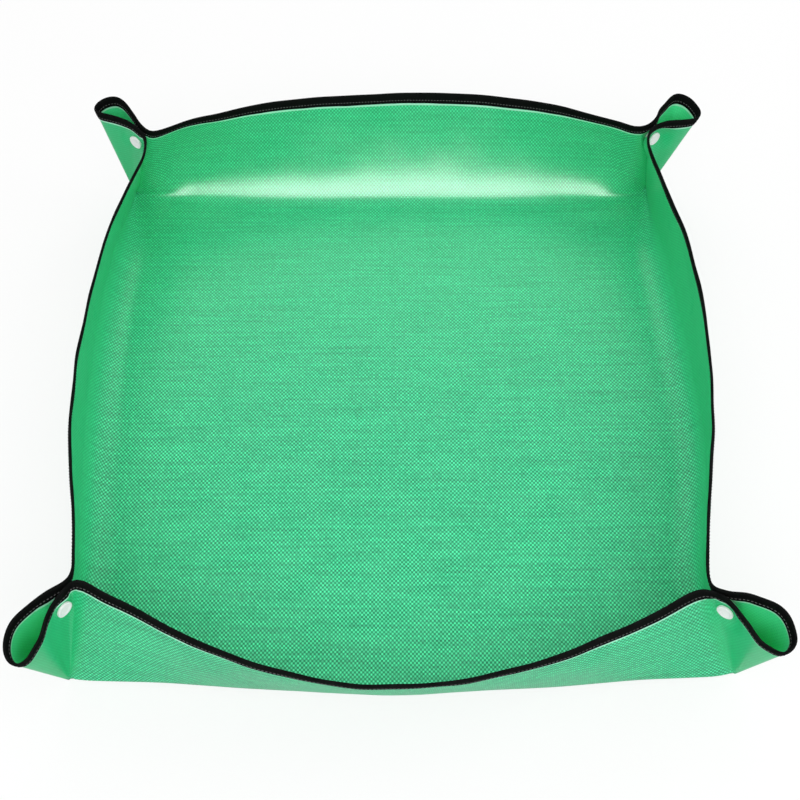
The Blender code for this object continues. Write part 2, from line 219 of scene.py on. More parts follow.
sheetMake = {
    "thickness": 0.5,
    "wallColumns": 96,
    "earColumns": 64,
    "earTightness": 8.0,      # how much closer the columns stand in an ear's turns
    "curveSamples": 1600,
    "foldRows": 5,
    "wallRows": 17,
    "rimRows": 3,
    "slopeRounds": 12,        # how often a wall's slope and the end of its fold are matched
    "cornerHalfTurn": 1.5,
    "turnSpan": (0.05, 1.0),  # where the turn grows, from a wall's corner, 0, to its middle, 1
    "cornerRadius": 1.0,
    "radiusSpan": (0.0, 0.6),     # where the fold's radius grows, likewise
    "footLoop": (0.9, 0.8, 0.6),  # an ear's foot: back, aside and ahead
    "earFold": 0.03,          # the share of an ear's height in its lowest rows
    "landSpacing": 2.45,      # from the ear's middle to each layer at the stud
    "landReach": (6.9, 17.0),
    "mouthReach": (6.6, 9.6),     # behind the stud, where the two layers close up to the tray
    "mouthSpacing": 0.7,
    "floorGap": 150.0,        # what the floor's points say for their distance from the rim
    # waves holds (share, turn per mm of x, turn per mm of y, phase), and crossWave and floorWave
    # a turn per mm and a phase for x, then for y
    "ripple": 1.1,
    "crossWave": (0.043, 1.3, 0.037, 0.4),
    "waves": [(0.6, 0.091, -0.052, 2.1), (0.45, 0.021, 0.101, 0.7), (0.25, 0.17, 0.13, 0.0)],
    "rippleRise": (4, 55),
    "rippleFromEar": (45, 120),
    "earStill": 55,
    "floorRipple": 0.35,
    "floorWave": (0.026, 0.6, 0.031, 1.1),
    "floorFade": (8, 60),
    "floorHalf": 240,
}

tapeMake = {
    "width": 9.0,
    # (down from the rim, half the thickness) from the lip over the seam to the crown
    "section": [(9.0, 0.62), (8.75, 0.76), (7.2, 0.90), (6.1, 0.76), (5.0, 0.94), (3.0, 1.04), (0.9, 1.02),
                (-0.1, 0.86), (-0.6, 0.52), (-0.8, 0.0)],
    "lining": [(0.15, 0.30), (4.5, 0.33), (9.0, 0.33)],
    "wander": 0.28,           # how far the lip wanders, below wanderFrom
    "wanderFrom": 7.0,
    "lipWaves": [(0.5, 0.061, 0), (0.3, 0.143, 1), (0.2, 0.31, 2)],    # (share, per mm, phase)
    "puff": (0.05, 0.21),     # how much it swells and shrinks, and its turn per mm
}

seamMake = {
    "depth": 6.1,
    "pitch": 2.7,
    "length": 2.0,
    "radius": 0.32,
    "rise": 0.14,
    "dip": 0.26,              # how far a stitch's ends go down
    "taper": 0.97,            # how late it narrows to its ends
    "endShare": 0.03,
    "lookAhead": 0.4,
    "sides": 6,
    "rings": 6,
}

cornerNames = list(cornerShapes)
sideNames = list(wallShapes)
up = np.array([0.0, 0.0, 1.0])


class Ear:
    def __init__(self, name):
        shape = cornerShapes[name]
        heading = math.radians(shape["heading"])
        self.opening = shape["opening"]
        self.mouth = shape.get("mouth", 0.0)
        self.out = np.array([math.cos(heading), math.sin(heading), 0.0])
        self.first = np.array([math.sin(heading), -math.cos(heading), 0.0])
        self.foot = np.array([*shape["foot"], sheetMake["thickness"] / 2])
        low, high = (np.array(corner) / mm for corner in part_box("socket_" + name))
        self.stud = self.local((low + high) / 2)
        self.studWorld = self.world(np.array([self.stud[0], 0.0, self.stud[2]]))
        self.loop = self.world(np.array(shape["before"] + shape["tip"] + shape["after"], float))

    def world(self, place):
        place = np.asarray(place, float)
        return self.foot + place[..., :1] * self.out + place[..., 1:2] * self.first + place[..., 2:] * up

    def local(self, point):
        step = point - self.foot
        return np.stack([step @ self.out, step @ self.first, step[..., 2]], -1)


ears = {name: Ear(name) for name in cornerNames}


# The sheet's middle surface: columns round the mat, each with rows from the floor to the rim

# Steps up a column, from the tape's lip to the rim
def stepsToRim(lip):
    count = sheetMake["rimRows"] - 1
    return [mixed(lip, 1.0, (k + 1) / count) for k in range(count)]


# A wall's columns, over the rounded fold and up to the rim, with their places on the flat sheet
def buildWall(side, before, after, rims, run):
    make, wall = sheetMake, wallShapes[side]
    share = run / run[-1]
    outward = np.array([*wall["outward"], 0.0])
    lateral = np.array([-outward[1], outward[0], 0.0])
    feet = mixed(before.foot, after.foot, share[:, None])
    swell = 1 - (2 * share - 1) ** 2    # 0 at the wall's ends and 1 in its middle
    radius = mixed(make["cornerRadius"], wall["foldRadius"], ease(swell, *make["radiusSpan"]))
    turn = np.radians(mixed(make["cornerHalfTurn"], wall["halfTurn"], ease(swell, *make["turnSpan"])))
    low = ease(swell, *wall["lowSpan"]) if "lowSlope" in wall else 0.0
    footSide, footUp = feet @ lateral, feet[:, 2]
    footOut = smoothLine(footSide, wall["fold"])
    rimOut, rimSide, rimUp = rims @ outward, rims @ lateral, rims[:, 2]
    slope = np.full(len(share), 1.0)
    for attempt in range(make["slopeRounds"]):
        setback = radius * np.tan(slope / 2)
        foldOut = footOut - setback + radius * np.sin(slope)
        foldUp = footUp + radius * (1 - np.cos(slope))
        chord = np.arctan2(rimUp - foldUp, rimOut - foldOut)
        slope = mixed(chord - turn, math.radians(wall.get("lowSlope", 0.0)), low)
    span = np.hypot(rimUp - foldUp, rimOut - foldOut)
    arm = mixed(span / (2 * np.cos(turn)), wall.get("lowReach", 0.0), low)
    bendOut, bendUp = foldOut + arm * np.cos(slope), foldUp + arm * np.sin(slope)
    lip = 1 - tapeMake["width"] / (2 * np.hypot(rimOut - bendOut, rimUp - bendUp))
    angles = [slope * k / (make["foldRows"] - 1) for k in range(make["foldRows"])]
    outs = [footOut - setback + radius * np.sin(angle) for angle in angles]
    ups = [footUp + radius * (1 - np.cos(angle)) for angle in angles]
    for t in [lip * (k + 1) / make["wallRows"] for k in range(make["wallRows"])] + stepsToRim(lip):
        outs.append(bent(t, foldOut, bendOut, rimOut))
        ups.append(bent(t, foldUp, bendUp, rimUp))
    outs, ups = np.array(outs), np.array(ups)
    steps = np.hypot(np.diff(outs, axis=0), np.diff(ups, axis=0))
    length = np.concatenate([np.zeros((1, len(share))), np.cumsum(steps, axis=0)])
    climb = length / length[-1]
    flatRim = run - run[-1] / 2 + (footSide[0] + footSide[-1]) / 2
    sides, flatSides = mixed(footSide, rimSide, climb), mixed(footSide, flatRim, climb)
    grid = outs[..., None] * outward + sides[..., None] * lateral + ups[..., None] * up
    flat = (outs[0] + length)[..., None] * outward + flatSides[..., None] * lateral
    return grid, flat, share


# An ear's columns, with the two layers pulled flat at the stud and closed up behind it. On the
# flat sheet they fan out from the ear's foot, between the ends of the walls on either side.
def buildEar(ear, rims, run, firstEnd, lastEnd):
    make = sheetMake
    share = run / run[-1]
    back, spread, ahead = make["footLoop"]
    loop = np.stack([-back + (back + ahead) * np.sin(np.pi * share), spread * np.cos(np.pi * share),
                     np.zeros(len(share))], -1)
    feet = ear.world(loop)
    tipPlace = share[np.argmax(ear.local(rims)[:, 0])]
    startAngle = math.atan2(firstEnd[1], firstEnd[0])
    endAngle = math.atan2(lastEnd[1], lastEnd[0])
    endAngle += 2 * math.pi * math.ceil((startAngle - endAngle) / (2 * math.pi))
    columns, flats = [], []
    for i in range(make["earColumns"]):
        lip = 1 - tapeMake["width"] / np.linalg.norm(rims[i] - feet[i])
        steps = [make["earFold"] * k / (make["foldRows"] - 1) for k in range(make["foldRows"])]
        steps += [mixed(make["earFold"], lip, (k + 1) / make["wallRows"]) for k in range(make["wallRows"])]
        steps = np.array(steps + stepsToRim(lip))[:, None]
        place = ear.local(mixed(feet[i], rims[i], steps))
        mouth = ease(ear.stud[0] - place[:, 0], *make["mouthReach"])
        layer = mixed(make["landSpacing"], make["mouthSpacing"], mouth) * (1 if share[i] < tipPlace else -1)
        layer = layer + mouth * ear.mouth
        gap = np.hypot(place[:, 0] - ear.stud[0], place[:, 2] - ear.stud[2])
        pull = 1 - ease(gap, *make["landReach"])
        place[:, 1] = mixed(place[:, 1], layer, pull)
        columns.append(ear.world(place))
        angle = mixed(startAngle, endAngle, share[i])
        far = mixed(np.linalg.norm(firstEnd[:2]), np.linalg.norm(lastEnd[:2]), share[i])
        flats.append(ear.foot + steps * far * np.array([math.cos(angle), math.sin(angle), 0.0]))
    return np.stack(columns, 1), np.stack(flats, 1), share


def buildSurface():
    make = sheetMake
    points, marks = [], {}
    for side, corner in zip(sideNames, cornerNames):
        points += [np.array(p, float) for p in wallShapes[side]["rim"]]
        marks[corner] = (len(points), len(points) + len(ears[corner].loop) - 1)
        points += list(ears[corner].loop)
    spline = closedSpline(points)
    walls = []
    for number, side in enumerate(sideNames):
        before, after = cornerNames[number - 1], cornerNames[number]
        start = marks[before][1] - (len(points) if number == 0 else 0)
        places, run = evenPlaces(spline, start, marks[after][0], make["wallColumns"] + 1, 0.0)
        walls.append(buildWall(side, ears[before], ears[after], splinePoint(spline, places), run))
    grids, flats, names, across = [], [], [], []
    for number, (side, corner) in enumerate(zip(sideNames, cornerNames)):
        grid, flat, share = walls[number]
        ear, nextFlat = ears[corner], walls[(number + 1) % 4][1]
        places, run = evenPlaces(spline, *marks[corner], make["earColumns"], make["earTightness"])
        earGrid, earFlat, earShare = buildEar(ear, splinePoint(spline, places), run,
                                              flat[-1, -1] - ear.foot, nextFlat[-1, 0] - ear.foot)
        grids += [grid[:, 1:-1], earGrid]
        flats += [flat[:, 1:-1], earFlat]
        names += [side] * (make["wallColumns"] - 1) + [corner] * make["earColumns"]
        across += [share[1:-1], earShare]
    return {"points": np.concatenate(grids, 1), "flat": np.concatenate(flats, 1),
            "part": np.array(names), "across": np.concatenate(across)}


surface = buildSurface()
rowCount, columnCount = surface["points"].shape[:2]
stride = sheetMake["wallColumns"] - 1 + sheetMake["earColumns"]
print("surface:", rowCount, "rows by", columnCount, "columns")


# The floor is a grid whose outer points are the first row of the walls
def buildFloor():
    last = sheetMake["wallColumns"]
    numbers = np.full((last + 1, last + 1), -1)
    places = np.zeros((last + 1, last + 1, 3))
    flats = np.zeros((last + 1, last + 1, 3))
    for number in range(4):
        for step in range(1, last):
            column = number * stride + step - 1
            spot = ((step, 0), (last, step), (last - step, last), (0, last - step))[number]
            numbers[spot] = column
            places[spot] = surface["points"][0, column]
            flats[spot] = surface["flat"][0, column]
    for spot, name in zip(floorCorners, cornerNames):
        places[spot] = ears[name].foot - ears[name].out * 2 * sheetMake["footLoop"][0]
        flats[spot] = places[spot]
    share = np.linspace(0, 1, last + 1)
    inner = slice(1, last)
    for grid in (places, flats):
        across = mixed(grid[0][None, inner], grid[last][None, inner], share[inner, None, None])
        along = mixed(grid[inner, 0][:, None], grid[inner, last][:, None], share[None, inner, None])
        grid[inner, inner, 0] = across[..., 0]
        grid[inner, inner, 1] = along[..., 1]
        grid[inner, inner, 2] = sheetMake["thickness"] / 2
    return numbers, places, flats


floorEnd = sheetMake["wallColumns"]
floorCorners = ((floorEnd, 0), (floorEnd, floorEnd), (0, floorEnd), (0, 0))
floorNumbers, floorPlaces, floorFlats = buildFloor()


# All points in one list: the ring's rows, then the floor's own points
ringPoints = surface["points"].reshape(-1, 3)
ringFlats = surface["flat"].reshape(-1, 3)
own = floorNumbers < 0
floorNumbers[own] = len(ringPoints) + np.arange(own.sum())
allPoints = np.concatenate([ringPoints, floorPlaces[own]])
allFlats = np.concatenate([ringFlats, floorFlats[own]])


# One quarter's faces, half a wall on either side of its ear, and its columns
def quadrantFaces(number):
    last, half = sheetMake["wallColumns"], sheetMake["wallColumns"] // 2
    start = number * stride + half - 1
    columns = [(start + i) % columnCount for i in range(stride + 1)]
    faces = []
    for row in range(rowCount - 1):
        for a, b in zip(columns, columns[1:]):
            faces.append((row * columnCount + a, (row + 1) * columnCount + a,
                          (row + 1) * columnCount + b, row * columnCount + b))
    spanX = range(half, last) if number in (0, 1) else range(half)
    spanY = range(half) if number in (0, 3) else range(half, last)
    grid = floorNumbers
    for i in spanX:
        for j in spanY:
            faces.append((grid[i, j], grid[i + 1, j], grid[i + 1, j + 1], grid[i, j + 1]))
    first = number * stride + last - 2
    fan = [(first + i) % columnCount for i in range(sheetMake["earColumns"] + 2)]
    faces += [(grid[floorCorners[number]], a, b) for a, b in zip(fan, fan[1:])]
    return faces, columns


quadrants = [quadrantFaces(number) for number in range(4)]
everyFace = [face for faces, columns in quadrants for face in faces]


def pointNormals(points, faces):
    normals = np.zeros_like(points)
    for size in (3, 4):
        group = np.array([f for f in faces if len(f) == size])
        if not len(group):
            continue
        a, b, c = points[group[:, 0]], points[group[:, 1]], points[group[:, 2]]
        d = points[group[:, -1]]
        square = np.cross(c - a, d - b) if size == 4 else np.cross(b - a, c - a)
        for k in range(size):
            np.add.at(normals, group[:, k], square)
    return unit(normals)


# Low waves in the walls, and lower ones in the floor, which rises from the surface and never dips
def addRipples(points, flats, normals):
    make = sheetMake
    x, y = flats[:, 0], flats[:, 1]
    height = np.clip(points[:, 2] - make["thickness"] / 2, 0, None)
    turnX, phaseX, turnY, phaseY = make["crossWave"]
    wave = np.sin(x * turnX + phaseX) * np.cos(y * turnY + phaseY)
    for share, turnX, turnY, phase in make["waves"]:
        wave = wave + share * np.sin(x * turnX + y * turnY + phase)
    calm = np.ones(len(points))
    for ear in ears.values():
        away = np.linalg.norm(points[:, :2] - ear.foot[:2], axis=1)
        calm = np.minimum(calm, np.where(away < make["earStill"], 0.0, ease(away, *make["rippleFromEar"])))
    rise = ease(height, *make["rippleRise"])
    points = points + normals * (wave * rise * calm * make["ripple"] / 2)[:, None]
    edge = np.minimum(make["floorHalf"] - np.abs(x), make["floorHalf"] - np.abs(y))
    inside = ease(edge, *make["floorFade"]) * (height < 0.01)
    turnX, phaseX, turnY, phaseY = make["floorWave"]
    swell = 0.5 + 0.5 * np.sin(x * turnX + phaseX) * np.sin(y * turnY + phaseY)
    points[:, 2] += inside * swell * make["floorRipple"]
    return points


allNormals = pointNormals(allPoints, everyFace)
allPoints = addRipples(allPoints, allFlats, allNormals)
allNormals = pointNormals(allPoints, everyFace)
ringGrid = allPoints[:len(ringPoints)].reshape(rowCount, columnCount, 3)
ringNormals = allNormals[:len(ringPoints)].reshape(rowCount, columnCount, 3)


# How far each point goes with its corner's stud when that is opened

openingMake = {
    "reachShare": 0.82,       # how far up an ear its reach is read
    "landMargin": 8.0,        # from the stud to where the layers begin to share the motion
    "tipShare": 0.5, "tipPower": 1.4,
    "wallShare": 0.48,        # how much of the wall beside the opened layer goes with it
    "riseHeight": 14.0,
    "range": 35,              # how far a corner opens
    "closeness": 0.9,         # how near a point may come to the ear's middle plane
    "clearHeight": 0.2,
    "earWidth": 25,
}


def openingWeights():
    make = openingMake
    weights = np.zeros((4, rowCount, columnCount))
    place = surface["across"]
    for number, name in enumerate(cornerNames):
        ear = ears[name]
        local = ear.local(ringGrid)
        aside, height = np.abs(local[..., 1]), local[..., 2]
        inEar = surface["part"] == name
        reach = ear.local(mixed(ringGrid[0], ringGrid[-1], make["reachShare"]))[:, 0]
        tipPlace = place[inEar][np.argmax(local[-1, inEar, 0])]
        landEnd = ear.stud[0] + make["landMargin"]
        beyond = np.clip((reach - landEnd) / (reach[inEar].max() - landEnd), 0, 1)
        swing = make["tipShare"] * beyond ** make["tipPower"]
        opens = (place > tipPlace) if ear.opening < 0 else (place < tipPlace)
        column = np.where(inEar & opens, 1 - swing, np.where(inEar, swing, 0.0))
        side = sideNames[(number + 1) % 4] if ear.opening < 0 else sideNames[number]
        away = place if ear.opening < 0 else 1 - place
        column = np.where(surface["part"] == side, 1 - ease(away, 0.0, make["wallShare"]), column)
        share = np.broadcast_to(column, (rowCount, columnCount)) * ease(height, 0.0, make["riseHeight"])
        room = np.degrees(np.arctan2(np.maximum(height - make["clearHeight"], 0), aside + 1e-6))
        limit = room / make["range"] * make["closeness"]
        nearEar = inEar[None, :] & (aside < make["earWidth"])
        weights[number] = np.where(nearEar, share, np.minimum(share, limit))
    return weights


weights = openingWeights()
print("opening weights:", weights.max(axis=(1, 2)).round(2))


# Where the sheet is pressed smooth: the ears, partly the walls, and the floor towards the back

pressMake = {
    "rimLength": 420,                 # about the length of a wall's rim
    "besideEar": (1.0, 9.0),
    "besideRise": (1, 12), "wallRise": (1, 14), "earRise": (0, 7),
    "earLeast": 0.92, "beyondStud": (3, 10),
    "floorSpan": (-60, 235), "floorMost": 0.42,
}


def floorPressed(y):
    return ease(y, *pressMake["floorSpan"]) * pressMake["floorMost"]


def pressedMask():
    make = pressMake
    mask = np.zeros((rowCount, columnCount))
    place = surface["across"]
    height = ringGrid[..., 2]
    beside = 1 - ease(np.minimum(place, 1 - place) * make["rimLength"], *make["besideEar"])
    for side, wall in wallShapes.items():
        value = mixed(floorPressed(ringGrid[..., 1]), wall["pressed"], ease(height, *make["wallRise"]))
        value = np.maximum(value, beside * ease(height, *make["besideRise"]))
        mask = np.where(surface["part"] == side, value, mask)
    for corner, ear in ears.items():
        beyond = ear.local(ringGrid)[..., 0] - ear.stud[0]
        share = mixed(make["earLeast"], 1.0, ease(beyond, *make["beyondStud"]))
        value = ease(height, *make["earRise"]) * share
        mask = np.where(surface["part"] == corner, value, mask)
    return mask


pressed = pressedMask()


# Meshes

def newObject(name, points, faces, normals=None, layers=None):
    mesh = bpy.data.meshes.new(name)
    faces = [tuple(int(i) for i in face) for face in faces]
    mesh.from_pydata([tuple(point) for point in np.asarray(points) * mm], [], faces)
    mesh.update()
    mesh.shade_smooth()
    for key, values in (layers or {}).items():
        values = np.asarray(values, np.float32)
        kind = "FLOAT" if values.ndim == 1 else "FLOAT_VECTOR"
        mesh.attributes.new(key, kind, "POINT").data.foreach_set(
            "value" if kind == "FLOAT" else "vector", values.ravel())
    if normals is not None:
        loops = np.zeros(len(mesh.loops), np.int32)
        mesh.loops.foreach_get("vertex_index", loops)
        mesh.normals_split_custom_set(np.asarray(normals)[loops].tolist())
    item = bpy.data.objects.new(name, mesh)
    bpy.context.scene.collection.objects.link(item)
    return item


def blendPiece(item):
    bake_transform(item)


# Both faces of one quarter of the sheet and the strips that close them
def buildSheetQuarter(number):
    faces = quadrants[number][0]
    used = np.unique(np.concatenate([np.array(f) for f in faces]))
    where = np.full(len(allPoints), -1)
    where[used] = np.arange(len(used))
    faces = [[where[i] for i in face] for face in faces]
    points, normals = allPoints[used], allNormals[used]
    half = sheetMake["thickness"] / 2
    size = len(used)
    shellPoints = np.concatenate([points + normals * half, points - normals * half])
    shellNormals = np.concatenate([normals, -normals])
    shellFaces = [list(face) for face in faces] + [[i + size for i in reversed(face)] for face in faces]
    edges = {}
    for face in faces:
        for a, b in zip(face, face[1:] + face[:1]):
            if (b, a) in edges:
                edges.pop((b, a))
            else:
                edges[(a, b)] = True
    shellFaces += [[b, a, a + size, b + size] for a, b in edges]
    ringWeights = np.zeros(len(allPoints))
    ringWeights[:len(ringPoints)] = weights[number].ravel()
    gap = np.full(len(allPoints), sheetMake["floorGap"])
    depth = np.linalg.norm(np.diff(ringGrid, axis=0), axis=2)
    fromRim = np.concatenate([np.cumsum(depth[::-1], axis=0)[::-1], np.zeros((1, columnCount))])
    gap[:len(ringPoints)] = fromRim.ravel()
    smooth = np.zeros(len(allPoints))
    smooth[:len(ringPoints)] = pressed.ravel()
    smooth[len(ringPoints):] = floorPressed(allPoints[len(ringPoints):, 1])
    layers = {
        "flatPlace": np.tile(allFlats[used], (2, 1)),
        "rimGap": np.tile(gap[used], 2),
        "pressed": np.tile(smooth[used], 2),
        # The inner face is the one that the material paints lighter: painted light
        "innerFace": np.concatenate([np.ones(size), np.zeros(size)]),
    }
    item = newObject("sheet_" + cornerNames[number], shellPoints, shellFaces, shellNormals, layers)
    return item, np.tile(ringWeights[used], 2)


# A place on the sheet so far down from the rim, in every column, with its normal and weight
def belowRim(depth, number):
    steps = np.linalg.norm(np.diff(ringGrid, axis=0), axis=2)[::-1]
    run = np.concatenate([np.zeros((1, columnCount)), np.cumsum(steps, axis=0)])
    points, normals = ringGrid[::-1], ringNormals[::-1]
    values = weights[number][::-1]
    rise = unit(points[0] - points[1])
    depth = np.broadcast_to(depth, (columnCount,)).astype(float)
    row = np.clip((run < np.maximum(depth, 1e-6)[None]).sum(0) - 1, 0, rowCount - 2)
    column = np.arange(columnCount)
    share = np.clip((depth - run[row, column]) / (run[row + 1, column] - run[row, column]), 0, 1)[:, None]
    place = mixed(points[row, column], points[row + 1, column], share)
    place = np.where(depth[:, None] < 0, points[0] - rise * depth[:, None], place)
    normal = unit(mixed(normals[row, column], normals[row + 1, column], share))
    weight = mixed(values[row, column], values[row + 1, column], share[:, 0])
    return place, normal, weight


rimSteps = np.linalg.norm(np.roll(ringGrid[-1], -1, 0) - ringGrid[-1], axis=1)
rimRun = np.concatenate([[0], np.cumsum(rimSteps)])[:columnCount]


# The tape's rings along the whole rim, one for each place of its section
def buildTape():
    lip = sum(np.sin(rimRun * turn + phase) * share for share, turn, phase in tapeMake["lipWaves"])
    swell, puffTurn = tapeMake["puff"]
    outer = tapeMake["section"] + [(depth, -half) for depth, half in tapeMake["section"][-2::-1]]
    inner = [(depth, -half) for depth, half in tapeMake["lining"][::-1]] + tapeMake["lining"]
    section = outer + inner
    rings = []
    for i, (depth, half) in enumerate(section):
        wanders = depth > tapeMake["wanderFrom"]
        drift = tapeMake["wander"] * lip * (depth / tapeMake["width"]) if wanders else 0.0
        puff = 1 + swell * np.sin(rimRun * puffTurn + depth) if i < len(outer) else np.ones(columnCount)
        place, normal, weight = belowRim(depth + drift, 0)
        rings.append(place + normal * (half * puff)[:, None])
    steps = [math.hypot(b[0] - a[0], b[1] - a[1]) for a, b in zip(section, section[1:])]
    return section, np.array(rings), np.concatenate([[0], np.cumsum(steps)])


def tubeNormals(rings):
    along = np.roll(rings, -1, 1) - np.roll(rings, 1, 1)
    around = np.roll(rings, -1, 0) - np.roll(rings, 1, 0)
    return unit(np.cross(around, along))


section, tapeRings, tapeAround = buildTape()
tapeNormals = tubeNormals(tapeRings)


def buildTapeQuarter(number):
    columns = quadrants[number][1]
    size, count = len(section), len(columns)
    tube = []
    for i in range(size):
        j = (i + 1) % size
        for k in range(count - 1):
            tube.append([j * count + k, j * count + k + 1, i * count + k + 1, i * count + k])
    tube.append([i * count for i in reversed(range(size))])
    tube.append([i * count + count - 1 for i in range(size)])
    values = np.array([belowRim(depth, number)[2][columns] for depth, half in section])
    run = np.unwrap(rimRun[columns], period=rimRun[-1] + rimSteps[-1])
    place = np.stack(np.broadcast_arrays(run[None, :], tapeAround[:, None], np.zeros((size, count))), -1)
    item = newObject("edge_tape_" + cornerNames[number], tapeRings[:, columns].reshape(-1, 3), tube,
                     tapeNormals[:, columns].reshape(-1, 3), {"tapePlace": place.reshape(-1, 3)})
    return item, values.ravel()


# Stitches lie on both faces of the tape and dip into it at their ends
def buildStitches(sign, name):
    make = seamMake
    place, normal, weight = belowRim(make["depth"], 0)
    path = place + normal * sign * dict(tapeMake["section"])[make["depth"]]
    step = np.linalg.norm(np.roll(path, -1, 0) - path, axis=1)
    run = np.concatenate([[0], np.cumsum(step)])
    count = int(round(run[-1] / make["pitch"]))
    centres = (np.arange(count) + 0.5) * run[-1] / count
    closedPath = np.concatenate([path, path[:1]])
    closedNormal = np.concatenate([normal, normal[:1]])
    closedColumn = np.arange(columnCount + 1)
    rings, sides = make["rings"], make["sides"]

    def at(values, where):
        spots = np.stack([np.interp(where.ravel(), run, values[:, k]) for k in range(3)], -1)
        return spots.reshape(count, rings, 3)

    along = np.linspace(-1, 1, rings)
    offsets = along * make["length"] / 2
    where = (centres[:, None] + offsets[None, :]) % run[-1]
    middle = at(closedPath, where)
    outNormal = unit(at(closedNormal, where)) * sign
    ahead = unit(at(closedPath, (where + make["lookAhead"]) % run[-1]) - middle)
    aside = unit(np.cross(ahead, outNormal))
    height = make["rise"] - make["dip"] * along**2
    radius = make["radius"] * np.sqrt(np.maximum(1 - (along * make["taper"]) ** 4, make["endShare"]))
    middle = middle + outNormal * height[None, :, None]
    turn = 2 * np.pi * np.arange(sides) / sides
    circle = (np.cos(turn)[:, None] * outNormal[:, :, None, :] + np.sin(turn)[:, None] * aside[:, :, None, :])
    points = middle[:, :, None, :] + circle * radius[None, :, None, None]
    twist = np.stack(np.broadcast_arrays(offsets[None, :, None], turn[None, None, :],
                                         np.arange(count)[:, None, None]), -1)
    columnAt = np.interp(where, run, closedColumn)
    middleColumn = columnAt[:, rings // 2]
    pieces = []
    for number in range(4):
        columns = quadrants[number][1]
        start, end = columns[0], columns[-1]
        mine = ((middleColumn >= start) & (middleColumn < end) if start < end
                else (middleColumn >= start) | (middleColumn < end))
        chosen = np.flatnonzero(mine)
        faces = []
        for base in range(0, len(chosen) * rings * sides, rings * sides):
            for r in range(base, base + (rings - 1) * sides, sides):
                for s in range(sides):
                    t = (s + 1) % sides
                    faces.append([r + s, r + t, r + sides + t, r + sides + s])
            faces.append([base + s for s in reversed(range(sides))])
            faces.append([base + (rings - 1) * sides + s for s in range(sides)])
        item = newObject(name + "_" + cornerNames[number], points[chosen].reshape(-1, 3), faces, None,
                         {"threadPlace": twist[chosen].reshape(-1, 3)})
        seamWeight = belowRim(make["depth"], number)[2]
        seamWeight = np.concatenate([seamWeight, seamWeight[:1]])
        values = np.interp(columnAt[chosen], closedColumn, seamWeight)
        pieces.append((item, np.repeat(values.ravel(), sides)))
    return pieces


# Press studs, turned round their own axis

# The rounds give a profile's corners their rounding, one by one
studMake = {
    "turnSegments": 56,
    "roundSteps": 5,
    "sharpAngle": 38,
    "gap": 0.3,               # between parts that face each other
    "capRadius": 6.2, "capThickness": 1.8, "capRim": 2.0, "capCrown": 0.1,
    "capDip": 0.5, "dipInside": 0.7, "dipOutside": 0.2,    # the dish in the cap and its sloping side
    "capRounds": (0, 0.5, 0.45, 0.6, 0.15, 0, 0.2, 0),
    "postRadius": 1.6, "postLength": 1.7,
    "ringRadius": 5.6,
    "socketHeight": 2.5, "socketFloor": 0.5, "leadDepth": 0.2, "leadWidth": 0.4,
    "socketRounds": (0.35, 0.2, 0, 0, 0.1, 0.15, 0.15),
    "flangeHeight": 1.0, "nubRadius": 2.6, "nubReach": 1.9, "waistDepth": 0.15, "waistHeight": 0.9,
    "studRounds": (0.2, 0.35, 0.2, 0.3, 0.35, 0.2, 0),
}


# A profile of (radius, height) with its corners rounded
def rounded(profile, radii):
    line = []
    for i, (point, radius) in enumerate(zip(profile, radii)):
        point = np.array(point, float)
        if not radius:
            line.append(point)
            continue
        before = np.array(profile[i - 1], float)
        after = np.array(profile[(i + 1) % len(profile)], float)
        start, end = point + unit(before - point) * radius, point + unit(after - point) * radius
        line += [bent(t, start, point, end) for t in np.linspace(0, 1, studMake["roundSteps"])]
    return line


def buildTurned(name, line, closed, ear, sign):
    count = studMake["turnSegments"]
    axis = ear.first * ear.opening * sign
    across = np.cross(axis, ear.out)
    points, places, rings = [], [], []
    for radius, height in line:
        turns = count if radius > 1e-6 else 1
        rings.append(list(range(len(points), len(points) + turns)))
        for k in range(turns):
            angle = 2 * math.pi * k / count
            spoke = ear.out * math.cos(angle) + across * math.sin(angle)
            points.append(ear.studWorld + axis * height + spoke * radius)
            places.append((radius * math.cos(angle), radius * math.sin(angle), height))
    faces = []
    pairs = list(zip(rings, rings[1:])) + ([(rings[-1], rings[0])] if closed else [])
    for one, two in pairs:
        for k in range(count):
            m = (k + 1) % count
            a, b = one[k % len(one)], one[m % len(one)]
            c, d = two[m % len(two)], two[k % len(two)]
            if len(one) == 1:
                faces.append([a, d, c])
            elif len(two) == 1:
                faces.append([a, d, b])
            else:
                faces.append([a, d, c, b])
    item = newObject(name, points, faces, None, {"turnPlace": places})
    item.data.set_sharp_from_angle(angle=math.radians(studMake["sharpAngle"]))
    return item


def capLine():
    make = studMake
    under = sheetMake["landSpacing"] + sheetMake["thickness"] / 2 + make["gap"]
    top = under + make["capThickness"]
    dish, inner = top - make["capDip"], make["capRadius"] - make["capRim"]
    post, end = make["postRadius"], under - make["postLength"]
    profile = [(0, dish), (inner - make["dipInside"], dish), (inner + make["dipOutside"], top),
               (make["capRadius"], top - make["capCrown"]), (make["capRadius"], under), (post, under),
               (post, end), (0, end)]
    return rounded(profile, make["capRounds"])


def socketLine():
    make = studMake
    back = sheetMake["thickness"] / 2 + make["gap"] - sheetMake["landSpacing"]
    front, floor = back + make["socketHeight"], back + make["socketFloor"]
    bore, hole = make["nubRadius"] + make["gap"], make["postRadius"] + make["gap"]
    profile = [(make["ringRadius"], front), (make["ringRadius"], back), (hole, back), (hole, floor),
               (bore, floor), (bore, front - make["leadDepth"]), (bore + make["leadWidth"], front)]
    return rounded(profile, make["socketRounds"])


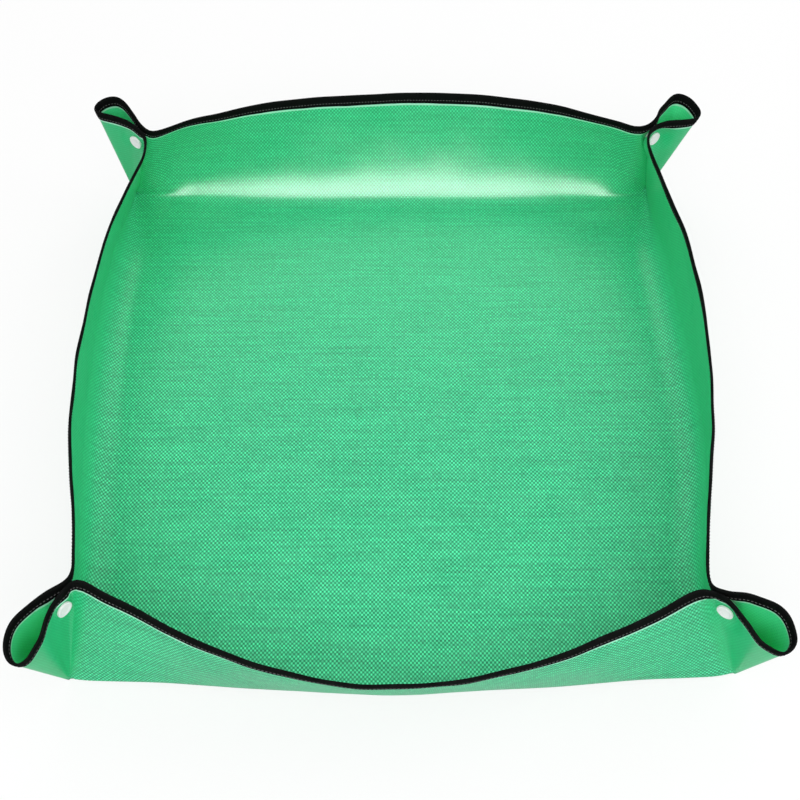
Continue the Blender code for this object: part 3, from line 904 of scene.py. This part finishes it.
def studLine():
    make = studMake
    back = sheetMake["landSpacing"] - sheetMake["thickness"] / 2 - make["gap"]
    face, nub = back - make["flangeHeight"], make["nubRadius"]
    hole, end = make["postRadius"] + make["gap"], face - make["nubReach"]
    profile = [(make["ringRadius"], back), (make["ringRadius"], face), (nub, face),
               (nub - make["waistDepth"], face - make["waistHeight"]), (nub, end), (hole, end), (hole, back)]
    return rounded(profile, make["studRounds"])


# Shader groups and materials

def newGroup(name, inputs, outputs):
    tree = bpy.data.node_groups.new(name, "ShaderNodeTree")
    for label, kind, value in inputs:
        socket = tree.interface.new_socket(label, in_out="INPUT", socket_type="NodeSocket" + kind)
        if value is not None:
            socket.default_value = value
    for label, kind in outputs:
        tree.interface.new_socket(label, in_out="OUTPUT", socket_type="NodeSocket" + kind)
    return tree, tree.nodes.new("NodeGroupInput").outputs, tree.nodes.new("NodeGroupOutput").inputs


def plug(tree, value, socket):
    if isinstance(value, bpy.types.NodeSocket):
        tree.links.new(value, socket)
    else:
        socket.default_value = value


def calc(tree, operation, *values):
    node = tree.nodes.new("ShaderNodeMath")
    node.operation = operation
    for socket, value in zip(node.inputs, values):
        plug(tree, value, socket)
    return node.outputs[0]


def blendColor(tree, share, one, two):
    node = tree.nodes.new("ShaderNodeMix")
    node.data_type = "RGBA"
    plug(tree, share, node.inputs[0])
    plug(tree, one, node.inputs[6])
    plug(tree, two, node.inputs[7])
    return node.outputs[2]


def blendValue(tree, share, one, two):
    node = tree.nodes.new("ShaderNodeMix")
    plug(tree, share, node.inputs[0])
    plug(tree, one, node.inputs[2])
    plug(tree, two, node.inputs[3])
    return node.outputs[0]


def noiseNode(tree, vector, scale, detail=2.0):
    node = tree.nodes.new("ShaderNodeTexNoise")
    plug(tree, vector, node.inputs["Vector"])
    node.inputs["Scale"].default_value = scale
    node.inputs["Detail"].default_value = detail
    return node.outputs["Fac"]


def scaled(tree, vector, factors):
    node = tree.nodes.new("ShaderNodeVectorMath")
    node.operation = "MULTIPLY"
    plug(tree, vector, node.inputs[0])
    node.inputs[1].default_value = factors
    return node.outputs[0]


def randomOf(tree, value):
    node = tree.nodes.new("ShaderNodeTexWhiteNoise")
    node.noise_dimensions = "1D"
    plug(tree, value, node.inputs["W"])
    return node.outputs["Value"]


def attribute(tree, name, output):
    node = tree.nodes.new("ShaderNodeAttribute")
    node.attribute_type = "GEOMETRY"
    node.attribute_name = name
    return node.outputs[output]


def partsOf(tree, vector):
    node = tree.nodes.new("ShaderNodeSeparateXYZ")
    tree.links.new(vector, node.inputs[0])
    return node.outputs


# Plain weave of flat tapes, in millimetres of the flat sheet. The warp's tapes are lighter than the weft's, a
# painted sheen, and each tape turns to the dark gap colour where it dips at its edges and ends, a painted
# shade between the crowns.

weaveMake = {
    "wobbleScale": 0.035, "wobble": 1.6,      # how unevenly the tapes lie
    "edgeSharpness": 5.0,
    "warpTint": 0.35,                         # how much less the warp's tapes differ than the weft's
    "weftSeed": 731.0, "cellSeeds": (37.17, 91.73),
    "streakScale": (0.014, 0.34, 0.0),
    # cover mixes the dark gap colour in where the tapes dip: painted shade
    "coverGain": 2.2, "coverSoftness": 0.2,   # how quickly a tape covers the gap beside it
}


def weaveGroup():
    make = weaveMake
    tree, given, gives = newGroup(
        "flat tape weave",
        [("Place", "Vector", None), ("Warp Pitch", "Float", 1.5), ("Weft Pitch", "Float", 1.75),
         ("Gap", "Color", (0.01, 0.2, 0.08, 1)), ("Warp", "Color", (0.2, 0.9, 0.5, 1)),
         ("Weft", "Color", (0.1, 0.7, 0.3, 1)), ("Tint Spread", "Float", 0.2), ("Streaks", "Float", 0.2),
         ("Cell Spread", "Float", 0.2)],
        [("Color", "Color"), ("Height", "Float")])
    parts = partsOf(tree, given["Place"])
    wobble = calc(tree, "SUBTRACT", noiseNode(tree, given["Place"], make["wobbleScale"]), 0.5)
    wobble = calc(tree, "MULTIPLY", wobble, make["wobble"])
    u = calc(tree, "DIVIDE", calc(tree, "ADD", parts[0], wobble), given["Warp Pitch"])
    v = calc(tree, "DIVIDE", calc(tree, "ADD", parts[1], wobble), given["Weft Pitch"])
    tapeU, tapeV = calc(tree, "FLOOR", u), calc(tree, "FLOOR", v)
    sideU = calc(tree, "SUBTRACT", calc(tree, "SUBTRACT", u, tapeU), 0.5)
    sideV = calc(tree, "SUBTRACT", calc(tree, "SUBTRACT", v, tapeV), 0.5)
    weftOver = calc(tree, "FLOORED_MODULO", calc(tree, "ADD", tapeU, tapeV), 2.0)

    def crown(side, length):
        edge = calc(tree, "MULTIPLY", calc(tree, "ABSOLUTE", side), 2.0)
        edge = calc(tree, "POWER", edge, make["edgeSharpness"])
        arch = calc(tree, "COSINE", calc(tree, "MULTIPLY", length, math.pi))
        return calc(tree, "MULTIPLY", calc(tree, "SUBTRACT", 1.0, edge),
                    calc(tree, "MULTIPLY_ADD", arch, 0.5, 0.5))

    height = blendValue(tree, weftOver, crown(sideU, sideV), crown(sideV, sideU))
    warpTint = calc(tree, "SUBTRACT", randomOf(tree, tapeU), 0.5)
    warpTint = calc(tree, "MULTIPLY", warpTint, make["warpTint"])
    weftTint = calc(tree, "SUBTRACT", randomOf(tree, calc(tree, "ADD", tapeV, make["weftSeed"])), 0.5)
    tint = calc(tree, "MULTIPLY", blendValue(tree, weftOver, warpTint, weftTint), given["Tint Spread"])
    streak = noiseNode(tree, scaled(tree, given["Place"], make["streakScale"]), 1.0, 1.0)
    streak = calc(tree, "MULTIPLY", calc(tree, "SUBTRACT", streak, 0.5), given["Streaks"])
    seedU, seedV = make["cellSeeds"]
    cell = randomOf(tree, calc(tree, "MULTIPLY_ADD", tapeU, seedU, calc(tree, "MULTIPLY", tapeV, seedV)))
    cell = calc(tree, "MULTIPLY", calc(tree, "SUBTRACT", cell, 0.5), given["Cell Spread"])
    shade = calc(tree, "ADD", calc(tree, "ADD", 1.0, tint), calc(tree, "ADD", streak, cell))
    # Towards a tape's edges and ends, where its height falls, the colour goes to the gap colour: painted
    # shade between the crowns
    cover = calc(tree, "MULTIPLY", height, make["coverGain"])
    cover = calc(tree, "SMOOTH_MIN", cover, 1.0, make["coverSoftness"])
    # Warp lighter than Weft: painted sheen on the tapes that run along the warp
    color = blendColor(tree, weftOver, given["Warp"], given["Weft"])
    color = blendColor(tree, cover, given["Gap"], color)
    gain = tree.nodes.new("ShaderNodeVectorMath")
    gain.operation = "SCALE"
    tree.links.new(color, gain.inputs[0])
    tree.links.new(shade, gain.inputs["Scale"])
    tree.links.new(gain.outputs[0], gives["Color"])
    tree.links.new(height, gives["Height"])
    return tree


# Light handling marks in patches, stronger near an edge, for dust and rubbed places. On the studs' caps that
# edge is where the dish begins, and the greying there is painted shade of the dish.

wearMake = {"detail": 4.0, "contrast": 2.4, "threshold": 0.75, "everywhere": 0.35}


def wearAndShadeGroup():
    make = wearMake
    tree, given, gives = newGroup(
        "handling wear and painted shade",
        [("Place", "Vector", None), ("Edge Gap", "Float", 20.0), ("Reach", "Float", 10.0),
         ("Patch Size", "Float", 30.0), ("Color", "Color", None), ("Wear and Shade Color", "Color", None),
         ("Amount", "Float", 0.2)],
        [("Color", "Color"), ("Wear", "Float")])
    size = tree.nodes.new("ShaderNodeVectorMath")
    size.operation = "DIVIDE"
    tree.links.new(given["Place"], size.inputs[0])
    join = tree.nodes.new("ShaderNodeCombineXYZ")
    for k in range(3):
        tree.links.new(given["Patch Size"], join.inputs[k])
    tree.links.new(join.outputs[0], size.inputs[1])
    patch = noiseNode(tree, size.outputs[0], 1.0, make["detail"])
    patch = calc(tree, "SUBTRACT", calc(tree, "MULTIPLY", patch, make["contrast"]), make["threshold"])
    near = calc(tree, "SUBTRACT", 1.0, calc(tree, "DIVIDE", given["Edge Gap"], given["Reach"]))
    near = calc(tree, "MAXIMUM", near, 0.0)
    mask = calc(tree, "MULTIPLY", calc(tree, "ADD", near, make["everywhere"]), patch)
    clamp = tree.nodes.new("ShaderNodeClamp")
    tree.links.new(calc(tree, "MULTIPLY", mask, given["Amount"]), clamp.inputs[0])
    tree.links.new(blendColor(tree, clamp.outputs[0], given["Color"], given["Wear and Shade Color"]), gives["Color"])
    tree.links.new(clamp.outputs[0], gives["Wear"])
    return tree


# Fine ribs across a woven tape or round a twisted thread, darker in their grooves and lighter on their
# crests: painted shade in the grooves
def ribGroup():
    tree, given, gives = newGroup(
        "ribs",
        [("Along", "Float", 0.0), ("Across", "Float", 0.0), ("Pitch", "Float", 0.7), ("Slant", "Float", 0.0),
         ("Low", "Color", None), ("High", "Color", None)],
        [("Color", "Color"), ("Height", "Float")])
    turns = calc(tree, "ADD", given["Along"], calc(tree, "MULTIPLY", given["Across"], given["Slant"]))
    turns = calc(tree, "DIVIDE", turns, given["Pitch"])
    wave = calc(tree, "SINE", calc(tree, "MULTIPLY", turns, 2 * math.pi))
    height = calc(tree, "MULTIPLY_ADD", wave, 0.5, 0.5)
    # Low in the grooves and High on the crests: painted shade
    tree.links.new(blendColor(tree, height, given["Low"], given["High"]), gives["Color"])
    tree.links.new(height, gives["Height"])
    return tree


weave, wear, ribs = weaveGroup(), wearAndShadeGroup(), ribGroup()


def newMaterial(name):
    material = bpy.data.materials.new(name)
    material.use_nodes = True
    tree = material.node_tree
    shader = tree.nodes["Principled BSDF"]
    shader.inputs["Metallic"].default_value = 0.0
    return material, tree, shader


def useGroup(tree, group, values):
    node = tree.nodes.new("ShaderNodeGroup")
    node.node_tree = group
    for label, value in values.items():
        plug(tree, value, node.inputs[label])
    return node.outputs


def bump(tree, shader, height, distance):
    node = tree.nodes.new("ShaderNodeBump")
    node.inputs["Strength"].default_value = 1.0
    node.inputs["Distance"].default_value = distance * mm
    plug(tree, height, node.inputs["Height"])
    tree.links.new(node.outputs[0], shader.inputs["Normal"])


# Each finish holds its groups' values by their sockets' names, then its own
sheetFinish = {
    # Warp is lighter than Weft as painted sheen, and Gap is painted shade where the tapes dip between their
    # crowns
    "weave": {"Warp Pitch": 1.5, "Weft Pitch": 1.75, "Gap": (0.001, 0.090, 0.030, 1),
              "Warp": (0.100, 0.815, 0.440, 1), "Weft": (0.001, 0.335, 0.120, 1),
              "Tint Spread": 0.20, "Streaks": 0.62, "Cell Spread": 0.30},
    "wear": {"Reach": 14.0, "Patch Size": 26.0, "Wear and Shade Color": (0.30, 0.78, 0.52, 1), "Amount": 0.14},
    # The inner face's smooth colour is lighter than the outer's, and much lighter deep in the ears' loops:
    # painted light, for the light that comes through the thin sheet and into the loops
    "smooth": (0.020, 0.560, 0.205, 1), "smoothInsidePaintedLight": (0.042, 0.640, 0.240, 1),
    "smoothShare": 0.86,
    "loopPaintedLight": (0.085, 0.920, 0.380, 1), "loopLightFrom": 0.92, "loopLightGain": 12.5,
    # The pale lip colour is a painted highlight along the tape's lip
    "lip": (0.50, 0.95, 0.74, 1),             # a pale line where the sheet comes out of the tape
    "lipHighlightGap": 9.9, "lipHighlightWidth": 1.3, "lipHighlightGain": 1.5, "lipHighlightMost": 0.85,
    "roughness": (0.36, 0.27), "wornRoughness": 0.4, "specular": 0.34,
    "relief": 0.024, "smoothRelief": -0.7,
}


def sheetMaterial():
    look = sheetFinish
    material, tree, shader = newMaterial("greenWovenTape")
    place = attribute(tree, "flatPlace", "Vector")
    rimGap = attribute(tree, "rimGap", "Fac")
    smooth = attribute(tree, "pressed", "Fac")
    woven = useGroup(tree, weave, {**look["weave"], "Place": place})
    wornAndShaded = useGroup(tree, wear, {**look["wear"], "Place": place, "Edge Gap": rimGap, "Color": woven["Color"]})
    # Painted light on the inner face, strongest deep in the ears' loops
    loopLight = calc(tree, "MAXIMUM", calc(tree, "SUBTRACT", smooth, look["loopLightFrom"]), 0.0)
    loopLight = calc(tree, "MULTIPLY", loopLight, look["loopLightGain"])
    paintedLightInside = blendColor(tree, loopLight, look["smoothInsidePaintedLight"], look["loopPaintedLight"])
    smoothWithPaintedLight = blendColor(tree, attribute(tree, "innerFace", "Fac"), look["smooth"], paintedLightInside)
    smoothShare = calc(tree, "MULTIPLY", smooth, look["smoothShare"])
    color = blendColor(tree, smoothShare, wornAndShaded["Color"], smoothWithPaintedLight)
    # A pale line beside the tape's lip: painted highlight
    lip = calc(tree, "ABSOLUTE", calc(tree, "SUBTRACT", rimGap, look["lipHighlightGap"]))
    lip = calc(tree, "SUBTRACT", 1.0, calc(tree, "DIVIDE", lip, look["lipHighlightWidth"]))
    lip = calc(tree, "MULTIPLY", calc(tree, "MAXIMUM", lip, 0.0), look["lipHighlightGain"])
    lip = calc(tree, "MINIMUM", lip, look["lipHighlightMost"])
    tree.links.new(blendColor(tree, lip, color, look["lip"]), shader.inputs["Base Color"])
    rough = blendValue(tree, woven["Height"], *look["roughness"])
    rough = calc(tree, "ADD", rough, calc(tree, "MULTIPLY", wornAndShaded["Wear"], look["wornRoughness"]))
    tree.links.new(rough, shader.inputs["Roughness"])
    shader.inputs["Specular IOR Level"].default_value = look["specular"]
    relief = calc(tree, "MULTIPLY_ADD", smooth, look["smoothRelief"], 1.0)
    bump(tree, shader, calc(tree, "MULTIPLY", woven["Height"], relief), look["relief"])
    return material


tapeFinish = {
    # The ribs' Low and High are the colour in the grooves and on the crests, a painted shade
    "ribs": {"Pitch": 0.75, "Slant": 0.0, "Low": (0.0012, 0.0015, 0.0014, 1),
             "High": (0.0065, 0.0075, 0.0072, 1)},
    "wear": {"Reach": 3.0, "Patch Size": 9.0, "Wear and Shade Color": (0.022, 0.024, 0.023, 1), "Amount": 0.22},
    "crown": 10.4,                            # from the outer lip round to the rim, where it rubs most
    "fuzz": (3.0, 3.0), "roughness": (0.2, 0.7), "specular": 0.015,
    "relief": 0.12, "fuzzRelief": 0.8,
}


def tapeMaterial():
    look = tapeFinish
    material, tree, shader = newMaterial("blackEdgeTape")
    place = attribute(tree, "tapePlace", "Vector")
    parts = partsOf(tree, place)
    cords = useGroup(tree, ribs, {**look["ribs"], "Along": parts[0], "Across": parts[1]})
    fromCrown = calc(tree, "ABSOLUTE", calc(tree, "SUBTRACT", parts[1], look["crown"]))
    wornAndShaded = useGroup(tree, wear, {**look["wear"], "Place": place, "Edge Gap": fromCrown,
                                 "Color": cords["Color"]})
    tree.links.new(wornAndShaded["Color"], shader.inputs["Base Color"])
    fuzz = noiseNode(tree, place, *look["fuzz"])
    tree.links.new(calc(tree, "MULTIPLY_ADD", fuzz, *look["roughness"]), shader.inputs["Roughness"])
    shader.inputs["Specular IOR Level"].default_value = look["specular"]
    raised = calc(tree, "ADD", cords["Height"], calc(tree, "MULTIPLY", fuzz, look["fuzzRelief"]))
    bump(tree, shader, raised, look["relief"])
    return material


threadFinish = {
    # The ribs' Low and High are the colour in the grooves and on the crests, a painted shade
    "ribs": {"Pitch": 0.45, "Slant": 0.14, "Low": (0.022, 0.024, 0.023, 1), "High": (0.085, 0.09, 0.087, 1)},
    "wear": {"Edge Gap": 0.0, "Reach": 1.0, "Patch Size": 5.0, "Wear and Shade Color": (0.05, 0.05, 0.05, 1),
             "Amount": 0.8},
    "roughness": (-0.15, 0.6), "relief": 0.05,
}


def threadMaterial():
    look = threadFinish
    material, tree, shader = newMaterial("darkSeamThread")
    place = attribute(tree, "threadPlace", "Vector")
    parts = partsOf(tree, place)
    strands = useGroup(tree, ribs, {**look["ribs"], "Along": parts[0], "Across": parts[1]})
    wornAndShaded = useGroup(tree, wear, {**look["wear"], "Place": place, "Color": strands["Color"]})
    tree.links.new(wornAndShaded["Color"], shader.inputs["Base Color"])
    rough = calc(tree, "MULTIPLY_ADD", strands["Height"], *look["roughness"])
    tree.links.new(rough, shader.inputs["Roughness"])
    bump(tree, shader, strands["Height"], look["relief"])
    return material


plasticFinish = {
    # The ribs' Low and High are the colour in the grooves and on the crests, a painted shade
    "ribs": {"Across": 0.0, "Pitch": 0.5, "Slant": 0.0, "Low": (0.94, 0.94, 0.95, 1),
             "High": (0.97, 0.97, 0.97, 1)},
    # On the caps the wear colour is greyer at the dish's edge: painted shade of the dish, with light handling
    # wear in patches over the cap
    "wear": {"Reach": 1.4, "Patch Size": 2.2, "Wear and Shade Color": (0.62, 0.66, 0.68, 1), "Amount": 0.2},
    "dishShadeEdge": 3.7,                           # the radius where the dish begins, greyed there: painted shade of the dish
    "grain": (2.2, 3.0), "roughness": (0.18, 0.26),
    "relief": 0.02, "ringRelief": 0.25,
}


def plasticMaterial():
    look = plasticFinish
    material, tree, shader = newMaterial("whiteStudPlastic")
    place = attribute(tree, "turnPlace", "Vector")
    parts = partsOf(tree, place)
    flat = tree.nodes.new("ShaderNodeCombineXYZ")
    tree.links.new(parts[0], flat.inputs[0])
    tree.links.new(parts[1], flat.inputs[1])
    length = tree.nodes.new("ShaderNodeVectorMath")
    length.operation = "LENGTH"
    tree.links.new(flat.outputs[0], length.inputs[0])
    radius = length.outputs["Value"]
    rings = useGroup(tree, ribs, {**look["ribs"], "Along": radius})
    # Greyer in patches round the dish's edge: painted shade of the dish
    gap = calc(tree, "ABSOLUTE", calc(tree, "SUBTRACT", radius, look["dishShadeEdge"]))
    wornAndShaded = useGroup(tree, wear, {**look["wear"], "Place": place, "Edge Gap": gap, "Color": rings["Color"]})
    tree.links.new(wornAndShaded["Color"], shader.inputs["Base Color"])
    grain = noiseNode(tree, place, *look["grain"])
    tree.links.new(calc(tree, "MULTIPLY_ADD", grain, *look["roughness"]), shader.inputs["Roughness"])
    raised = calc(tree, "ADD", calc(tree, "MULTIPLY", rings["Height"], look["ringRelief"]), grain)
    bump(tree, shader, raised, look["relief"])
    return material


greenWoven, blackTape = sheetMaterial(), tapeMaterial()
seamThread, whitePlastic = threadMaterial(), plasticMaterial()
print("materials made")


def finishPiece(item, material, node):
    item.data.materials.append(material)
    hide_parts(node)


needle, bobbin = buildStitches(1, "needle_stitches"), buildStitches(-1, "bobbin_stitches")
for number, name in enumerate(cornerNames):
    sheetPiece, sheetWeights = buildSheetQuarter(number)
    finishPiece(sheetPiece, greenWoven, "woven_sheet")
    blendPiece(sheetPiece)
    tapePiece, tapeWeights = buildTapeQuarter(number)
    finishPiece(tapePiece, blackTape, "edge_binding")
    blendPiece(tapePiece)
    for pieces, node in ((needle, "needle_thread"), (bobbin, "bobbin_thread")):
        item, values = pieces[number]
        finishPiece(item, seamThread, node)
        blendPiece(item)
print("sheet, edge tape and seam made")

capProfile = capLine()
studParts = [
    # (node, profile, closed ring, which side of the ear it faces, whether it goes with the corner)
    ("fixed_cap", capProfile, False, -1, False),
    ("socket", socketLine(), True, 1, False),
    ("stud", studLine(), True, 1, True),
    ("opening_cap", capProfile, False, 1, True),
]
for name, ear in ears.items():
    for node, line, closed, sign, opens in studParts:
        item = buildTurned(node + "_plastic_" + name, line, closed, ear, sign)
        finishPiece(item, whitePlastic, node + "_" + name)
        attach(item, "corner_" + name if opens else "mat")
print("press studs made")


# Camera, at the photograph's angle

cameraMake = {
    "place": (0.002, -0.627, 0.908),          # metres
    "pitch": 55.22, "yaw": 0.08, "roll": -0.23,
    "lens": 59.985, "sensor": 36.0,
}


def addCamera():
    pitch, yaw, roll = (math.radians(cameraMake[key]) for key in ("pitch", "yaw", "roll"))
    ahead = Vector((math.sin(yaw) * math.cos(pitch), math.cos(yaw) * math.cos(pitch), -math.sin(pitch)))
    right = Vector((math.cos(yaw), -math.sin(yaw), 0.0))
    over = right.cross(ahead)
    turnedRight = right * math.cos(roll) + over * math.sin(roll)
    turnedUp = over * math.cos(roll) - right * math.sin(roll)
    data = bpy.data.cameras.new("camera")
    data.lens = cameraMake["lens"]
    data.sensor_width = cameraMake["sensor"]
    camera = bpy.data.objects.new("camera", data)
    bpy.context.scene.collection.objects.link(camera)
    turn = Matrix((turnedRight, turnedUp, -ahead)).transposed().to_4x4()
    camera.matrix_world = Matrix.Translation(Vector(cameraMake["place"])) @ turn
    bpy.context.scene.camera = camera


addCamera()


# Floor, world and lamps, in metres

lampMake = {
    "front": {"place": (0.0, -1.0, 1.12), "aim": (0, 0.0, 0), "size": (1.5, 0.8), "radiance": 2.3},
    # The two strips only draw the sheen along the back wall's foot
    "strip": {"place": (0.0, -0.74, 1.40), "aim": (0, 0.10, 0), "size": (1.42, 0.56), "radiance": 16.0,
              "sheenOnly": True},
    "upperStrip": {"place": (0.0, -1.25, 1.25), "aim": (0, 0.15, 0.02), "size": (1.30, 0.60),
                   "radiance": 16.0, "sheenOnly": True},
    "back": {"place": (0.0, 1.5, 1.3), "aim": (0, 0.2, 0), "size": (1.8, 0.9), "radiance": 1.3},
    "right": {"place": (1.5, 0.2, 1.4), "aim": (0, 0, 0), "size": (0.9, 0.9), "radiance": 1.9},
}

roomMake = {
    "worldFill": 0.66,
    "floorHalf": 6.0, "floorHeight": -0.0003,
    "floorColor": (0.72, 0.72, 0.72, 1),      # for the light that it throws back
    "floorSeen": (0.96, 0.96, 0.96, 1),       # for the camera, with floorGlow added
    "floorGlow": 0.8,
}


def addLamp(name):
    make = lampMake[name]
    data = bpy.data.lights.new("softbox_" + name, "AREA")
    data.shape = "RECTANGLE"
    data.size, data.size_y = make["size"]
    data.energy = make["radiance"] * math.pi * data.size * data.size_y
    lamp = bpy.data.objects.new("softbox_" + name, data)
    bpy.context.scene.collection.objects.link(lamp)
    lamp.location = make["place"]
    aim = Vector(make["aim"]) - Vector(make["place"])
    lamp.rotation_euler = aim.to_track_quat("-Z", "Y").to_euler()
    lamp.visible_camera = False
    lamp.visible_diffuse = not make.get("sheenOnly", False)


# 1 where the camera sees a surface, straight or through something clear
def seenDirectly(tree):
    path = tree.nodes.new("ShaderNodeLightPath")
    return calc(tree, "MAXIMUM", path.outputs["Is Camera Ray"], path.outputs["Is Transmission Ray"])


def addWorld():
    world = bpy.data.worlds.new("studio")
    bpy.context.scene.world = world
    world.use_nodes = True
    tree = world.node_tree
    tree.nodes.clear()
    back = tree.nodes.new("ShaderNodeBackground")
    back.inputs["Color"].default_value = (1, 1, 1, 1)
    fill = blendValue(tree, seenDirectly(tree), roomMake["worldFill"], 1.0)
    tree.links.new(fill, back.inputs["Strength"])
    output = tree.nodes.new("ShaderNodeOutputWorld")
    tree.links.new(back.outputs[0], output.inputs[0])


def addFloor():
    half = roomMake["floorHalf"]
    mesh = bpy.data.meshes.new("studio_floor")
    corners = [(-half, -half, 0), (half, -half, 0), (half, half, 0), (-half, half, 0)]
    mesh.from_pydata(corners, [], [(0, 1, 2, 3)])
    floor = bpy.data.objects.new("studio_floor", mesh)
    bpy.context.scene.collection.objects.link(floor)
    floor.location.z = roomMake["floorHeight"]
    material = bpy.data.materials.new("paleFloor")
    material.use_nodes = True
    tree = material.node_tree
    tree.nodes.clear()
    pale = tree.nodes.new("ShaderNodeBsdfDiffuse")
    glow = tree.nodes.new("ShaderNodeEmission")
    seen = seenDirectly(tree)
    tint = blendColor(tree, seen, roomMake["floorColor"], roomMake["floorSeen"])
    tree.links.new(tint, pale.inputs["Color"])
    mix = tree.nodes.new("ShaderNodeMixShader")
    tree.links.new(calc(tree, "MULTIPLY", seen, roomMake["floorGlow"]), mix.inputs[0])
    tree.links.new(pale.outputs[0], mix.inputs[1])
    tree.links.new(glow.outputs[0], mix.inputs[2])
    output = tree.nodes.new("ShaderNodeOutputMaterial")
    tree.links.new(mix.outputs[0], output.inputs[0])
    mesh.materials.append(material)


addWorld()
addFloor()
for lampName in lampMake:
    addLamp(lampName)
bpy.context.scene.view_settings.view_transform = "Standard"
print("camera and lamps placed")
